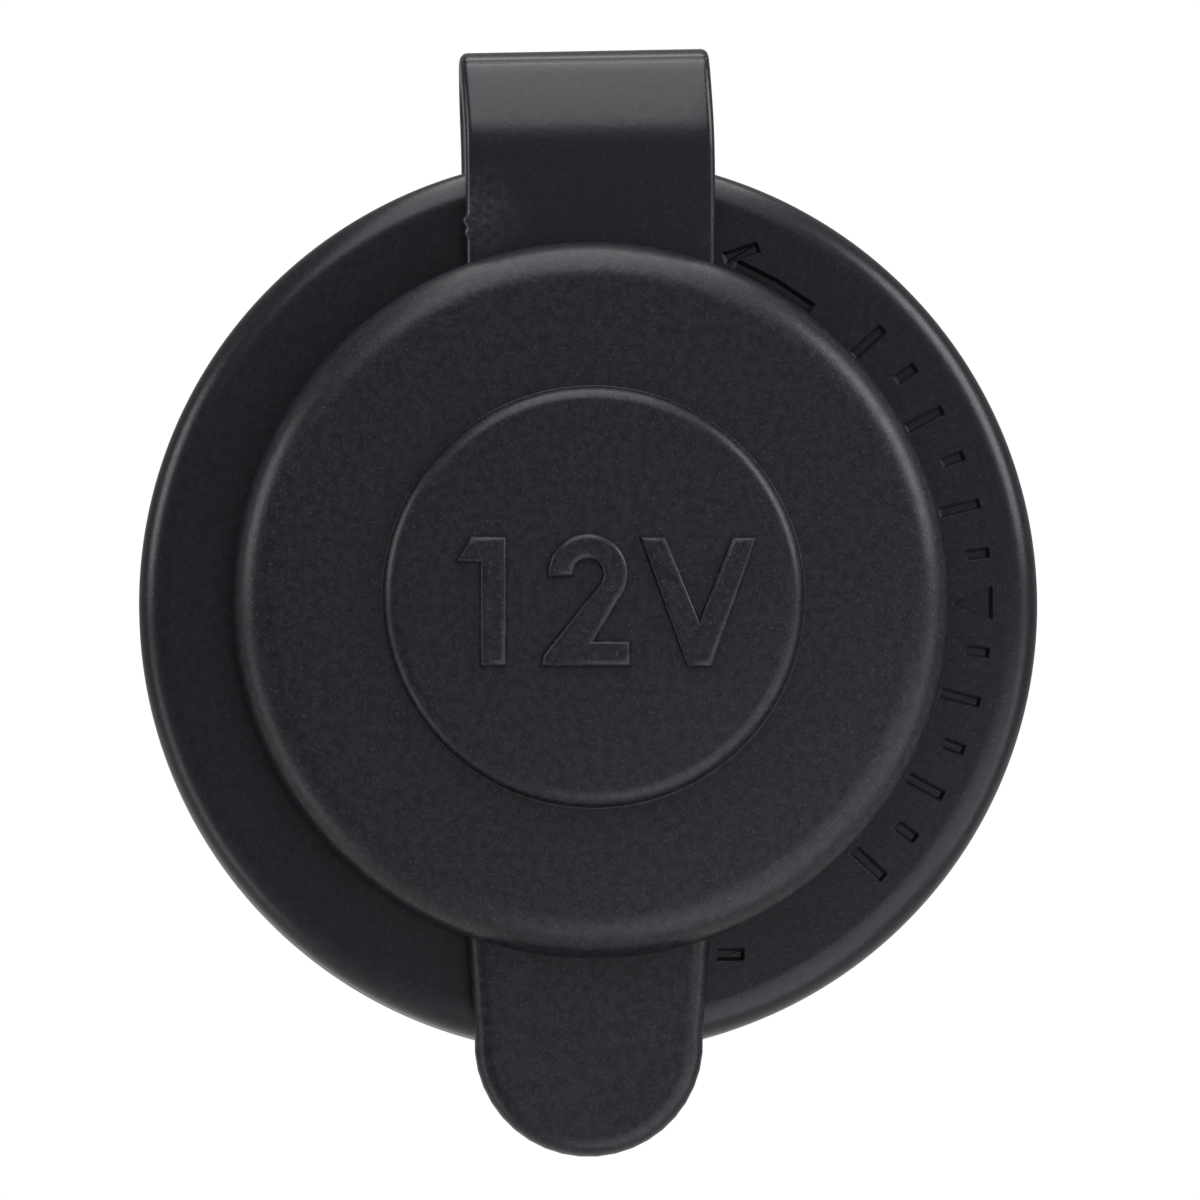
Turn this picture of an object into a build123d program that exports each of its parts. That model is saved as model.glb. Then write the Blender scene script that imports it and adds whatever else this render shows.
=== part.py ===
from build123d import *
import math
import os

# A 12 V accessory socket for a vehicle panel, with a soft cap that folds over its mouth.
# Millimetres. The socket axis is Y: the mouth faces -Y, the wiring side is +Y, and Z is up.
# The origin is on the axis, in the plane of the panel's front face.

# Flange and barrel moulding
FLANGE_RADIUS = 22.5
FLANGE_FRONT = -5.0
FLANGE_RIM_ROUND = 1.6
RIM_REAR = -0.2
RIM_WALL = 1.7
SEAT_DEPTH = 1.6
GROOVE_RADIUS = 13.9
NECK_RADIUS = 14.25
NECK_END = 2.0
BARREL_END = 43.0
BARREL_END_CHAMFER = 0.4
BASE_WALL = 2.5
SLEEVE_CLEARANCE = 0.05
KEYWAY_WIDTH = 3.0
KEYWAY_DEPTH = 0.9

# Coarse right-hand thread on the barrel
THREAD_RADIUS = 14.0
THREAD_ROOT_RADIUS = 13.2
THREAD_PITCH = 2.5
THREAD_CREST_WIDTH = 0.64
THREAD_ROOT_WIDTH = 1.44
THREAD_FOOT_SINK = 0.3
THREAD_START = 3.2
THREAD_END = 40.8

# Mouth and its two twist-lock slots
MOUTH_RADIUS = 11.9
MOUTH_ROUND = 0.5
MOUTH_FLOOR = -0.8
LOCK_OUTER_RADIUS = 13.1
LOCK_LIP_REAR = -3.4
LOCK_CHANNEL_REAR = -1.4
LOCK_LUG_ANGLE = 20.0
LOCK_TURN = 50.0

# Contact sleeve, the negative side
BORE_RADIUS = 10.5
SLEEVE_WALL = 0.7
SLEEVE_LIP_BEVEL = 0.3
SLEEVE_STEP_START = 36.0
SLEEVE_STEP_LENGTH = 0.8
SLEEVE_STEP_RADIUS = 10.0
SLEEVE_BASE_HOLE = 6.0

# Centre contact, the positive side
INSULATOR_RADIUS = 7.2
INSULATOR_DISC = 1.2
INSULATOR_HUB = 5.9
INSULATOR_BEVEL = 0.3
CONTACT_RADIUS = 4.6
CONTACT_SHEET = 0.8
CONTACT_RIM = 1.7
CONTACT_RIM_BEVEL = 0.3
CENTER_RIVET_RADIUS = 1.5
CENTER_RIVET_HEAD = 2.6
CENTER_RIVET_HEAD_HEIGHT = 0.9
RIVET_HOLE_CLEARANCE = 0.1

# Small rivets through the sleeve and the base wall
RIVET_RADIUS = 0.9
RIVET_HEAD_RADIUS = 1.3
RIVET_HEAD_HEIGHT = 0.8
RIVET_CIRCLE = 8.6
SLEEVE_RIVET_ANGLE = 30.0

# Spade terminals
BLADE_WIDTH = 6.3
BLADE_SHEET = 0.8
BLADE_END = 53.0
BLADE_BEND_RADIUS = 0.6
BLADE_TIP_CHAMFER = 1.1
BLADE_EYE_RADIUS = 0.9
BLADE_EYE_FROM_END = 3.2
POSITIVE_BLADE_Z = 6.0
POSITIVE_FOOT_END = -3.2
NEGATIVE_BLADE_Z = -11.6
NEGATIVE_FOOT_END = -6.4
BARRIER_Z = -4.8
BARRIER_THICKNESS = 1.2
BARRIER_WIDTH = 14.0
BARRIER_HEIGHT = 4.0

# Cap: lid, folded strap and trapped ring, moulded in one
STRAP_WIDTH = 12.5
STRAP_SHEET = 1.6
FOLD_INNER_RADIUS = 1.8
FOLD_Z = 24.3
RING_OUTER_RADIUS = 20.6
RING_FACE_INNER_RADIUS = 14.5
RING_LIP_RADIUS = 13.95
RING_LIP_STEP = 0.4
NOTCH_CLEARANCE = 0.35
LID_GAP = 0.2
LID_RADIUS = 17.6
LID_FRONT = -9.0
LID_EDGE_ROUND = 1.1
BOSS_RADIUS = 10.45
BOSS_FRONT = -9.9
BOSS_EDGE_ROUND = 0.4
PLUG_RADIUS = 11.65
PLUG_BEAD_RADIUS = 11.8
PLUG_BEAD_FROM_END = 0.8
PLUG_LEAD_IN = 0.4
PLUG_BORE = 10.0
PLUG_END = -1.8
CORE_FLOOR = -7.1
CORE_INNER_RADIUS = 13.0
CORE_OUTER_RADIUS = 16.1
CORE_DRAFT = 0.25
TAB_SHEET = 1.7
TAB_END_RADIUS = 5.67
TAB_END_Z = -22.0
TAB_ROOT_HALF_WIDTH = 6.15
TAB_ROOT_Z = -15.0
TAB_EDGE_ROUND = 0.6

# Keyed washer and ring nut behind the panel
WASHER_FRONT = 8.5
WASHER_SHEET = 1.2
WASHER_HOLE = 14.45
WASHER_RADIUS = 19.2
TONGUE_WIDTH = 2.6
TONGUE_REACH = 13.4
NUT_THICKNESS = 8.0
NUT_HOLE = 14.25
NUT_FLANGE_RADIUS = 19.2
NUT_FLANGE_THICKNESS = 2.0
NUT_GRIP_RADIUS = 17.6
NUT_RIB_COUNT = 12
NUT_RIB_RADIUS = 1.5
NUT_EDGE_BEVEL = 0.5

# Depths that follow from the sizes above
BASE_FRONT = BARREL_END - BASE_WALL
SLEEVE_RADIUS = BORE_RADIUS + SLEEVE_WALL
SLEEVE_BASE_FRONT = BASE_FRONT - SLEEVE_WALL
INSULATOR_FRONT = SLEEVE_BASE_FRONT - INSULATOR_DISC
CONTACT_FLOOR = INSULATOR_FRONT - CONTACT_SHEET
FOOT_REAR = BARREL_END + BLADE_SHEET
LID_REAR = FLANGE_FRONT - LID_GAP
FOLD_Y = -STRAP_SHEET - FOLD_INNER_RADIUS
FOLD_OUTER_RADIUS = FOLD_INNER_RADIUS + STRAP_SHEET
WASHER_REAR = WASHER_FRONT + WASHER_SHEET
NUT_REAR = WASHER_REAR + NUT_THICKNESS


def turned(*corners):
    """Solid of revolution about the socket axis, from corners given as (radius, y) or (radius, y, corner round)."""
    points = [corner[:2] for corner in corners]
    rounds = [corner[2] if len(corner) == 3 else 0 for corner in corners]
    outline = FilletPolyline(*points, radius=rounds, close=True)
    return revolve(make_face(outline), axis=Axis.Y)


def slab(sketch, y_front, y_rear):
    """A sketch in front view (x to the right, z up), given depth along the socket axis."""
    return extrude(Plane.XZ.offset(-y_rear) * sketch, y_rear - y_front)


def strip(z_low, z_high, width):
    """A front-view rectangle centred on x = 0 between two heights."""
    return Pos(0, (z_low + z_high) / 2) * Rectangle(width, z_high - z_low)


def ring_sector(inner_radius, outer_radius, start_angle, sweep_angle):
    """A front-view piece of a ring; angles in degrees from +X towards +Z."""
    start = math.radians(start_angle)
    end = math.radians(start_angle + sweep_angle)
    reach = outer_radius / math.cos((end - start) / 4)
    middle = (start + end) / 2
    corners = [(0, 0)]
    corners += [(reach * math.cos(a), reach * math.sin(a)) for a in (start, middle, end)]
    wedge = make_face(Polyline(*corners, close=True))
    return (Circle(outer_radius) - Circle(inner_radius)) & wedge


def on_rivet_circle(angle):
    """Front-view place of a small rivet; the angle in degrees from +X towards +Z."""
    return Pos(RIVET_CIRCLE * math.cos(math.radians(angle)), RIVET_CIRCLE * math.sin(math.radians(angle)))


NEGATIVE_RIVET_PLACE = on_rivet_circle(-90)
SLEEVE_RIVET_PLACES = [on_rivet_circle(a) for a in (SLEEVE_RIVET_ANGLE, 180 - SLEEVE_RIVET_ANGLE)]
RIVET_HOLE = Circle(RIVET_RADIUS + RIVET_HOLE_CLEARANCE)


def lock_slots():
    """Two L-shaped slots for a plug's lugs: in through the lip, then a turn behind it to the lock point."""
    cut = Part()
    inner_radius = MOUTH_RADIUS - MOUTH_ROUND
    for lock_point in (0, 180):
        channel_start = lock_point - LOCK_LUG_ANGLE / 2
        channel = ring_sector(inner_radius, LOCK_OUTER_RADIUS, channel_start, LOCK_TURN + LOCK_LUG_ANGLE)
        entry = ring_sector(inner_radius, LOCK_OUTER_RADIUS, channel_start + LOCK_TURN, LOCK_LUG_ANGLE)
        cut += slab(channel, LOCK_LIP_REAR, LOCK_CHANNEL_REAR)
        cut += slab(entry, FLANGE_FRONT - 1, LOCK_LIP_REAR)
    return cut


def make_thread():
    """Ridge of trapezium section, carried along a helix with its foot sunk into the barrel's wall."""
    helix = Helix(
        THREAD_PITCH,
        THREAD_END - THREAD_START,
        THREAD_ROOT_RADIUS,
        center=(0, THREAD_START, 0),
        direction=(0, 1, 0),
    )
    height = THREAD_RADIUS - THREAD_ROOT_RADIUS
    root = THREAD_ROOT_WIDTH / 2
    crest = THREAD_CREST_WIDTH / 2
    flank = [(-THREAD_FOOT_SINK, root), (0, root), (height, crest)]
    corners = flank + [(out, -along) for out, along in reversed(flank)]
    start = Plane(helix @ 0, x_dir=(0, 0, 1), z_dir=helix % 0)
    return sweep(start * make_face(Polyline(*corners, close=True)), path=helix, is_frenet=True)


def make_socket_body():
    """Flange, neck, threaded barrel and base wall, moulded as one piece."""
    seat_radius = FLANGE_RADIUS - RIM_WALL
    end_radius = THREAD_ROOT_RADIUS - BARREL_END_CHAMFER
    rivet_hole = CENTER_RIVET_RADIUS + RIVET_HOLE_CLEARANCE
    sleeve_hole = SLEEVE_RADIUS + SLEEVE_CLEARANCE
    body = turned(
        (MOUTH_RADIUS, FLANGE_FRONT, MOUTH_ROUND),
        (FLANGE_RADIUS, FLANGE_FRONT, FLANGE_RIM_ROUND),
        (FLANGE_RADIUS, RIM_REAR),
        (seat_radius, RIM_REAR),
        (seat_radius, -SEAT_DEPTH),
        (GROOVE_RADIUS, -SEAT_DEPTH),
        (GROOVE_RADIUS, 0),
        (NECK_RADIUS, 0),
        (NECK_RADIUS, NECK_END),
        (THREAD_ROOT_RADIUS, NECK_END),
        (THREAD_ROOT_RADIUS, BARREL_END - BARREL_END_CHAMFER),
        (end_radius, BARREL_END),
        (rivet_hole, BARREL_END),
        (rivet_hole, BASE_FRONT),
        (sleeve_hole, BASE_FRONT),
        (sleeve_hole, MOUTH_FLOOR),
        (MOUTH_RADIUS, MOUTH_FLOOR),
    )
    body += make_thread()
    notch = strip(seat_radius - 2, FLANGE_RADIUS + 1, STRAP_WIDTH + 2 * NOTCH_CLEARANCE)
    body -= slab(notch, -SEAT_DEPTH, 0)
    body -= lock_slots()
    for side in (-1, 1):
        keyway = Pos(side * THREAD_RADIUS, 0) * Rectangle(2 * KEYWAY_DEPTH, KEYWAY_WIDTH)
        body -= slab(keyway, NECK_END, BARREL_END + 1)
    for place in [NEGATIVE_RIVET_PLACE, *SLEEVE_RIVET_PLACES]:
        body -= slab(place * RIVET_HOLE, BASE_FRONT - 1, BARREL_END + 1)
    barrier = strip(BARRIER_Z - BARRIER_THICKNESS / 2, BARRIER_Z + BARRIER_THICKNESS / 2, BARRIER_WIDTH)
    body += slab(barrier, BARREL_END - BASE_WALL / 2, BARREL_END + BARRIER_HEIGHT)
    return body


def make_contact_sleeve():
    """Drawn metal cup with a bevelled lip and a stepped-in floor."""
    step_end = SLEEVE_STEP_START + SLEEVE_STEP_LENGTH
    step_outer = SLEEVE_STEP_RADIUS + SLEEVE_WALL
    sleeve = turned(
        (BORE_RADIUS, MOUTH_FLOOR + SLEEVE_LIP_BEVEL),
        (BORE_RADIUS + SLEEVE_LIP_BEVEL, MOUTH_FLOOR),
        (SLEEVE_RADIUS, MOUTH_FLOOR),
        (SLEEVE_RADIUS, SLEEVE_STEP_START),
        (step_outer, step_end),
        (step_outer, BASE_FRONT, SLEEVE_WALL),
        (SLEEVE_BASE_HOLE, BASE_FRONT),
        (SLEEVE_BASE_HOLE, SLEEVE_BASE_FRONT),
        (SLEEVE_STEP_RADIUS, SLEEVE_BASE_FRONT),
        (SLEEVE_STEP_RADIUS, step_end),
        (BORE_RADIUS, SLEEVE_STEP_START),
    )
    for place in [NEGATIVE_RIVET_PLACE, *SLEEVE_RIVET_PLACES]:
        sleeve -= slab(place * RIVET_HOLE, SLEEVE_BASE_FRONT - 1, BASE_FRONT + 1)
    return sleeve


def make_contact_insulator():
    """Flanged bush that keeps the centre contact off the sleeve."""
    hole = CENTER_RIVET_RADIUS + RIVET_HOLE_CLEARANCE
    return turned(
        (hole, INSULATOR_FRONT),
        (INSULATOR_RADIUS - INSULATOR_BEVEL, INSULATOR_FRONT),
        (INSULATOR_RADIUS, INSULATOR_FRONT + INSULATOR_BEVEL),
        (INSULATOR_RADIUS, SLEEVE_BASE_FRONT),
        (INSULATOR_HUB, SLEEVE_BASE_FRONT),
        (INSULATOR_HUB, BASE_FRONT),
        (hole, BASE_FRONT),
    )


def make_center_contact():
    """Shallow pressed dish that a plug's tip pushes against."""
    hole = CENTER_RIVET_RADIUS + RIVET_HOLE_CLEARANCE
    inner_radius = CONTACT_RADIUS - CONTACT_SHEET
    rim_front = INSULATOR_FRONT - CONTACT_RIM
    return turned(
        (hole, INSULATOR_FRONT),
        (CONTACT_RADIUS, INSULATOR_FRONT, CONTACT_SHEET),
        (CONTACT_RADIUS, rim_front),
        (inner_radius + CONTACT_RIM_BEVEL, rim_front),
        (inner_radius, rim_front + CONTACT_RIM_BEVEL),
        (inner_radius, CONTACT_FLOOR),
        (hole, CONTACT_FLOOR),
    )


def rivet(shank_radius, head_radius, head_height, grip_start, grip_end):
    """Rivet on the axis: a bevelled head before grip_start and a rolled tail like it behind grip_end."""
    bevel = head_height / 2
    head_front = grip_start - head_height
    tail_end = grip_end + head_height
    return turned(
        (0, head_front),
        (head_radius - bevel, head_front),
        (head_radius, head_front + bevel),
        (head_radius, grip_start),
        (shank_radius, grip_start),
        (shank_radius, grip_end),
        (head_radius, grip_end),
        (head_radius, tail_end - bevel),
        (head_radius - bevel, tail_end),
        (0, tail_end),
    )


def make_center_rivet():
    """Rivet through the contact, bush, base wall and positive terminal."""
    return rivet(CENTER_RIVET_RADIUS, CENTER_RIVET_HEAD, CENTER_RIVET_HEAD_HEIGHT, CONTACT_FLOOR, FOOT_REAR)


def small_rivet(grip_end):
    """Rivet on the axis, its head inside the sleeve and its tail behind grip_end."""
    return rivet(RIVET_RADIUS, RIVET_HEAD_RADIUS, RIVET_HEAD_HEIGHT, SLEEVE_BASE_FRONT, grip_end)


def in_front_view(place):
    """The same place, read as x and z instead of x and y."""
    return Pos(place.position.X, 0, place.position.Y)


def make_negative_rivet():
    """Rivet that joins the sleeve, the base wall and the negative terminal."""
    return in_front_view(NEGATIVE_RIVET_PLACE) * small_rivet(FOOT_REAR)


def make_sleeve_rivets():
    """Two rivets that hold the sleeve's floor to the base wall."""
    return [in_front_view(place) * small_rivet(BARREL_END) for place in SLEEVE_RIVET_PLACES]


def make_terminal(blade_z, foot_end, hole):
    """Spade terminal bent from sheet: a foot against the base wall and a blade that points back.

    blade_z is the height of the blade's outer face, and foot_end that of the foot's free end.
    """
    inward = math.copysign(1, foot_end - blade_z)
    blade_inner_z = blade_z + inward * BLADE_SHEET
    section = FilletPolyline(
        (BARREL_END, foot_end),
        (FOOT_REAR, foot_end),
        (FOOT_REAR, blade_inner_z),
        (BLADE_END, blade_inner_z),
        (BLADE_END, blade_z),
        (BARREL_END, blade_z),
        radius=[0, 0, BLADE_BEND_RADIUS, 0, 0, BLADE_BEND_RADIUS + BLADE_SHEET],
        close=True,
    )
    terminal = extrude(Plane.YZ * make_face(section), BLADE_WIDTH / 2, both=True)
    tip_corners = terminal.edges().filter_by(Axis.Z).group_by(Axis.Y)[-1]
    terminal = chamfer(tip_corners, BLADE_TIP_CHAMFER)
    eye_place = Pos(0, BLADE_END - BLADE_EYE_FROM_END, (blade_z + blade_inner_z) / 2)
    terminal -= eye_place * Cylinder(BLADE_EYE_RADIUS, 2 * BLADE_SHEET)
    return terminal - slab(hole, BARREL_END - 1, FOOT_REAR + 1)


def make_positive_terminal():
    """Terminal under the centre rivet."""
    hole = Circle(CENTER_RIVET_RADIUS + RIVET_HOLE_CLEARANCE)
    return make_terminal(POSITIVE_BLADE_Z, POSITIVE_FOOT_END, hole)


def make_negative_terminal():
    """Terminal under the negative rivet."""
    return make_terminal(NEGATIVE_BLADE_Z, NEGATIVE_FOOT_END, NEGATIVE_RIVET_PLACE * RIVET_HOLE)


def make_cap_ring():
    """The cap's ring, trapped between flange and panel, with the rear run of its strap."""
    strap_run = slab(strip(RING_FACE_INNER_RADIUS, FOLD_Z, STRAP_WIDTH), -STRAP_SHEET, 0)
    ring = turned(
        (RING_LIP_RADIUS, -STRAP_SHEET),
        (RING_OUTER_RADIUS, -STRAP_SHEET),
        (RING_OUTER_RADIUS, 0),
        (RING_FACE_INNER_RADIUS, 0),
        (RING_FACE_INNER_RADIUS, -RING_LIP_STEP),
        (RING_LIP_RADIUS, -RING_LIP_STEP),
    )
    return ring + strap_run


def make_cap_strap():
    """The half-round fold between the two runs of the strap: the living hinge."""
    fold_ring = Circle(FOLD_OUTER_RADIUS) - Circle(FOLD_INNER_RADIUS)
    above_fold = Pos(0, FOLD_OUTER_RADIUS) * Rectangle(3 * FOLD_OUTER_RADIUS, 2 * FOLD_OUTER_RADIUS)
    section = Pos(FOLD_Y, FOLD_Z) * (fold_ring & above_fold)
    return extrude(Plane.YZ * section, STRAP_WIDTH / 2, both=True)


def make_cap_lid():
    """Stepped disc with its boss, sealing plug, pull tab and the front run of the strap."""
    bead_y = PLUG_END - PLUG_BEAD_FROM_END
    lid = turned(
        (0, BOSS_FRONT),
        (BOSS_RADIUS, BOSS_FRONT, BOSS_EDGE_ROUND),
        (BOSS_RADIUS, LID_FRONT),
        (LID_RADIUS, LID_FRONT, LID_EDGE_ROUND),
        (LID_RADIUS, LID_REAR),
        (CORE_OUTER_RADIUS, LID_REAR),
        (CORE_OUTER_RADIUS - CORE_DRAFT, CORE_FLOOR),
        (CORE_INNER_RADIUS + CORE_DRAFT, CORE_FLOOR),
        (CORE_INNER_RADIUS, LID_REAR),
        (PLUG_RADIUS, LID_REAR),
        (PLUG_RADIUS, bead_y - PLUG_LEAD_IN),
        (PLUG_BEAD_RADIUS, bead_y),
        (PLUG_RADIUS - PLUG_LEAD_IN, PLUG_END),
        (PLUG_BORE, PLUG_END),
        (PLUG_BORE, CORE_FLOOR),
        (0, CORE_FLOOR),
    )
    strap_run = slab(strip(PLUG_RADIUS, FOLD_Z, STRAP_WIDTH), LID_REAR - STRAP_SHEET, LID_REAR)
    tab_outline = [
        Line((-TAB_ROOT_HALF_WIDTH, TAB_ROOT_Z), (-TAB_END_RADIUS, TAB_END_Z)),
        ThreePointArc(
            (-TAB_END_RADIUS, TAB_END_Z),
            (0, TAB_END_Z - TAB_END_RADIUS),
            (TAB_END_RADIUS, TAB_END_Z),
        ),
        Line((TAB_END_RADIUS, TAB_END_Z), (TAB_ROOT_HALF_WIDTH, TAB_ROOT_Z)),
        Line((TAB_ROOT_HALF_WIDTH, TAB_ROOT_Z), (-TAB_ROOT_HALF_WIDTH, TAB_ROOT_Z)),
    ]
    tab = slab(make_face(tab_outline), LID_REAR - TAB_SHEET, LID_REAR)
    tab = fillet(tab.faces().sort_by(Axis.Y)[0].edges(), TAB_EDGE_ROUND)
    return lid + strap_run + tab


def make_clamp_washer():
    """Flat washer with two tongues that run in the barrel's keyways."""
    outline = Circle(WASHER_RADIUS) - Circle(WASHER_HOLE)
    tongue_length = (WASHER_RADIUS + WASHER_HOLE) / 2 - TONGUE_REACH
    for side in (-1, 1):
        outline += Pos(side * (TONGUE_REACH + tongue_length / 2), 0) * Rectangle(tongue_length, TONGUE_WIDTH)
    return slab(outline, WASHER_FRONT, WASHER_REAR)


def make_lock_nut():
    """Ring nut with a clamping flange and round grip ribs."""
    flange_rear = WASHER_REAR + NUT_FLANGE_THICKNESS
    nut = turned(
        (NUT_HOLE, WASHER_REAR),
        (NUT_FLANGE_RADIUS, WASHER_REAR),
        (NUT_FLANGE_RADIUS, flange_rear - NUT_EDGE_BEVEL),
        (NUT_FLANGE_RADIUS - NUT_EDGE_BEVEL, flange_rear),
        (NUT_GRIP_RADIUS, flange_rear),
        (NUT_GRIP_RADIUS, NUT_REAR - NUT_EDGE_BEVEL),
        (NUT_GRIP_RADIUS - NUT_EDGE_BEVEL, NUT_REAR),
        (NUT_HOLE + NUT_EDGE_BEVEL, NUT_REAR),
        (NUT_HOLE, NUT_REAR - NUT_EDGE_BEVEL),
    )
    rib_circle = NUT_FLANGE_RADIUS - NUT_EDGE_BEVEL - NUT_RIB_RADIUS
    ribs = PolarLocations(rib_circle, NUT_RIB_COUNT) * Circle(NUT_RIB_RADIUS)
    return nut + slab(Sketch() + ribs, WASHER_REAR + NUT_FLANGE_THICKNESS / 2, NUT_REAR - NUT_EDGE_BEVEL)


nodes = {
    "socket_body": make_socket_body(),
    "contact_sleeve": make_contact_sleeve(),
    "contact_insulator": make_contact_insulator(),
    "center_contact": make_center_contact(),
    "center_rivet": make_center_rivet(),
    "positive_terminal": make_positive_terminal(),
    "negative_terminal": make_negative_terminal(),
    "negative_rivet": make_negative_rivet(),
    "sleeve_rivets": Compound(children=make_sleeve_rivets()),
    "cap_ring": make_cap_ring(),
    "cap_strap": make_cap_strap(),
    "cap_lid": make_cap_lid(),
    "clamp_washer": make_clamp_washer(),
    "lock_nut": make_lock_nut(),
}

os.makedirs("parts", exist_ok=True)
for name, shape in nodes.items():
    export_step(shape, f"parts/{name}.step")
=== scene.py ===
"""Looks of a vehicle power socket with a soft flip cap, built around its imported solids.

Shapes are worked out in millimetres and degrees in the part's own frame: the socket axis is Y, the
mouth faces -Y and Z is up. A place in front view is (x, z), and a turned profile is (radius, y).
"""

import logging
import math
from dataclasses import dataclass
from enum import Enum
from typing import Any, Sequence

import bmesh
import bpy
import numpy as np
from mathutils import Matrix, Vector
from numpy.typing import NDArray

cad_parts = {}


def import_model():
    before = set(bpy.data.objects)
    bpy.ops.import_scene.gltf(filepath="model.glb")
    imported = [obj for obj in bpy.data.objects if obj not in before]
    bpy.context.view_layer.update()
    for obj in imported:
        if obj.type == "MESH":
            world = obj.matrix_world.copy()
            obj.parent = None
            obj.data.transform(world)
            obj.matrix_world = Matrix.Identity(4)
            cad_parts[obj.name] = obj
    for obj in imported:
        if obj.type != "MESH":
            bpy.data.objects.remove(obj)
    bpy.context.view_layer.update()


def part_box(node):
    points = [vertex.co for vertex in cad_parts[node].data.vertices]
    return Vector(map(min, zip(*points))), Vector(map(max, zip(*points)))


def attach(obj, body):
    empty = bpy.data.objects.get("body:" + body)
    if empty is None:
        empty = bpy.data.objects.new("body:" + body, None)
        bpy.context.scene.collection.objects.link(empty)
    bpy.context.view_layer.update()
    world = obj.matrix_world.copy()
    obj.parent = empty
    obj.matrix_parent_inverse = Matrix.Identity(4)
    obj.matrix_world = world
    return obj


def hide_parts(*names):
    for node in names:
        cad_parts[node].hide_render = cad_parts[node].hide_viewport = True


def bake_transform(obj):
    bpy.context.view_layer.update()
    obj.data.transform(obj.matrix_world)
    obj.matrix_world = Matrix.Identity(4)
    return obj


Array = NDArray[np.float64]
Corner = tuple[float, float, float]

MM = 0.001
# Largest turn between two points of an arc
ARC_STEP = math.radians(9)
# Flat edge kept beside a rounded corner in millimetres, and the most of the free length that it takes
SUPPORT = 0.12
SUPPORT_SHARE = 0.4
# Points closer than this, in millimetres, are one point
MERGE = 1e-5
# Edges that turn by more than this are shaded sharp
SHARP = math.radians(38)
# How far a shape that cuts or joins runs past the faces it meets, in millimetres
PAST = 1.0
LOG = logging.getLogger("power_socket")


class Combine(Enum):
    """How a closed tool shape changes a piece."""

    ADD = "UNION"
    CUT = "DIFFERENCE"


class Body(Enum):
    """The rigid bodies that pieces ride on."""

    SOCKET = "socket"
    LID = "lid"
    WASHER = "washer"
    NUT = "nut"


@dataclass
class Surface:
    """A closed surface: points in millimetres and blocks of polygons with the same number of corners."""

    points: Array
    blocks: list[NDArray[np.int64]]

    def moved(self, offset: Sequence[float]) -> "Surface":
        """The same surface, shifted by (x, y, z)."""
        return Surface(self.points + np.asarray(offset, float), self.blocks)


def node_box(node: str) -> tuple[Array, Array]:
    """Lowest and highest corner of a CAD node, in millimetres."""
    low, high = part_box(node)
    return np.array(low) / MM, np.array(high) / MM


def node_depths(node: str) -> tuple[float, float]:
    """Front and rear of a CAD node along the socket axis, in millimetres."""
    low, high = node_box(node)
    return low[1], high[1]


def smooth_step(value: Array, start: float, end: float) -> Array:
    """A ramp from 0 at start to 1 at end, level at both ends: 3t^2 - 2t^3."""
    t = np.clip((np.asarray(value, float) - start) / (end - start), 0, 1)
    return t * t * (3 - 2 * t)


def bell(value: Array, centre: float, width: float) -> Array:
    """A bump of height 1 about centre: exp(-((value - centre) / width)^2)."""
    return np.exp(-(((np.asarray(value, float) - centre) / width) ** 2))


def quarter_turn(points: int) -> Array:
    """Evenly spaced angles from 0 to 90 degrees, in radians."""
    return np.radians(np.linspace(0, 90, points))


def rounded(corners: Sequence[Corner], closed: bool = True) -> Array:
    """A path through corners given as (u, v, radius), with each corner replaced by its tangent arc.

    The arc's centre lies on the corner's bisector, radius / sin(half angle) from the corner. A short
    support edge before and after each arc keeps the flats beside it flat when they are shaded.

    Args:
        corners: the corners in order.
        closed: whether the last corner joins the first; the ends of an open path stay sharp.
    Returns:
        The path's points.
    """
    count = len(corners)
    path = []
    for index, (u, v, radius) in enumerate(corners):
        corner = np.array([u, v])
        at_end = not closed and index in (0, count - 1)
        if radius == 0 or at_end:
            path.append(corner[None])
            continue
        before = np.array(corners[index - 1][:2]) - corner
        after = np.array(corners[(index + 1) % count][:2]) - corner
        room = min(np.linalg.norm(before), np.linalg.norm(after))
        before, after = before / np.linalg.norm(before), after / np.linalg.norm(after)
        inside = math.acos(np.clip(before @ after, -1, 1))
        reach = radius / math.tan(inside / 2)
        bisector = (before + after) / np.linalg.norm(before + after)
        centre = corner + bisector * radius / math.sin(inside / 2)
        turn = math.pi - inside
        share = np.linspace(0, 1, max(3, math.ceil(turn / ARC_STEP) + 1))[:, None]
        start, end = corner + before * reach - centre, corner + after * reach - centre
        arc = centre + (start * np.sin((1 - share) * turn) + end * np.sin(share * turn)) / math.sin(turn)
        support = min(SUPPORT, SUPPORT_SHARE * max(room - 2 * reach, 0))
        lead = [arc[:1] + before * support] if support > MERGE else []
        tail = [arc[-1:] + after * support] if support > MERGE else []
        path += [*lead, arc, *tail]
    return np.concatenate(path)


def arc_points(centre: Sequence[float], radius: float, start: float, end: float) -> Array:
    """Points along a circle from one angle to another, in degrees from +u towards +v.

    Args:
        centre: the circle's centre (u, v).
        radius: its radius.
        start: first angle.
        end: last angle.
    Returns:
        The arc's points.
    """
    steps = max(2, math.ceil(abs(math.radians(end - start)) / ARC_STEP) + 1)
    angle = np.radians(np.linspace(start, end, steps))
    return np.asarray(centre) + radius * np.stack([np.cos(angle), np.sin(angle)], axis=1)


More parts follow.
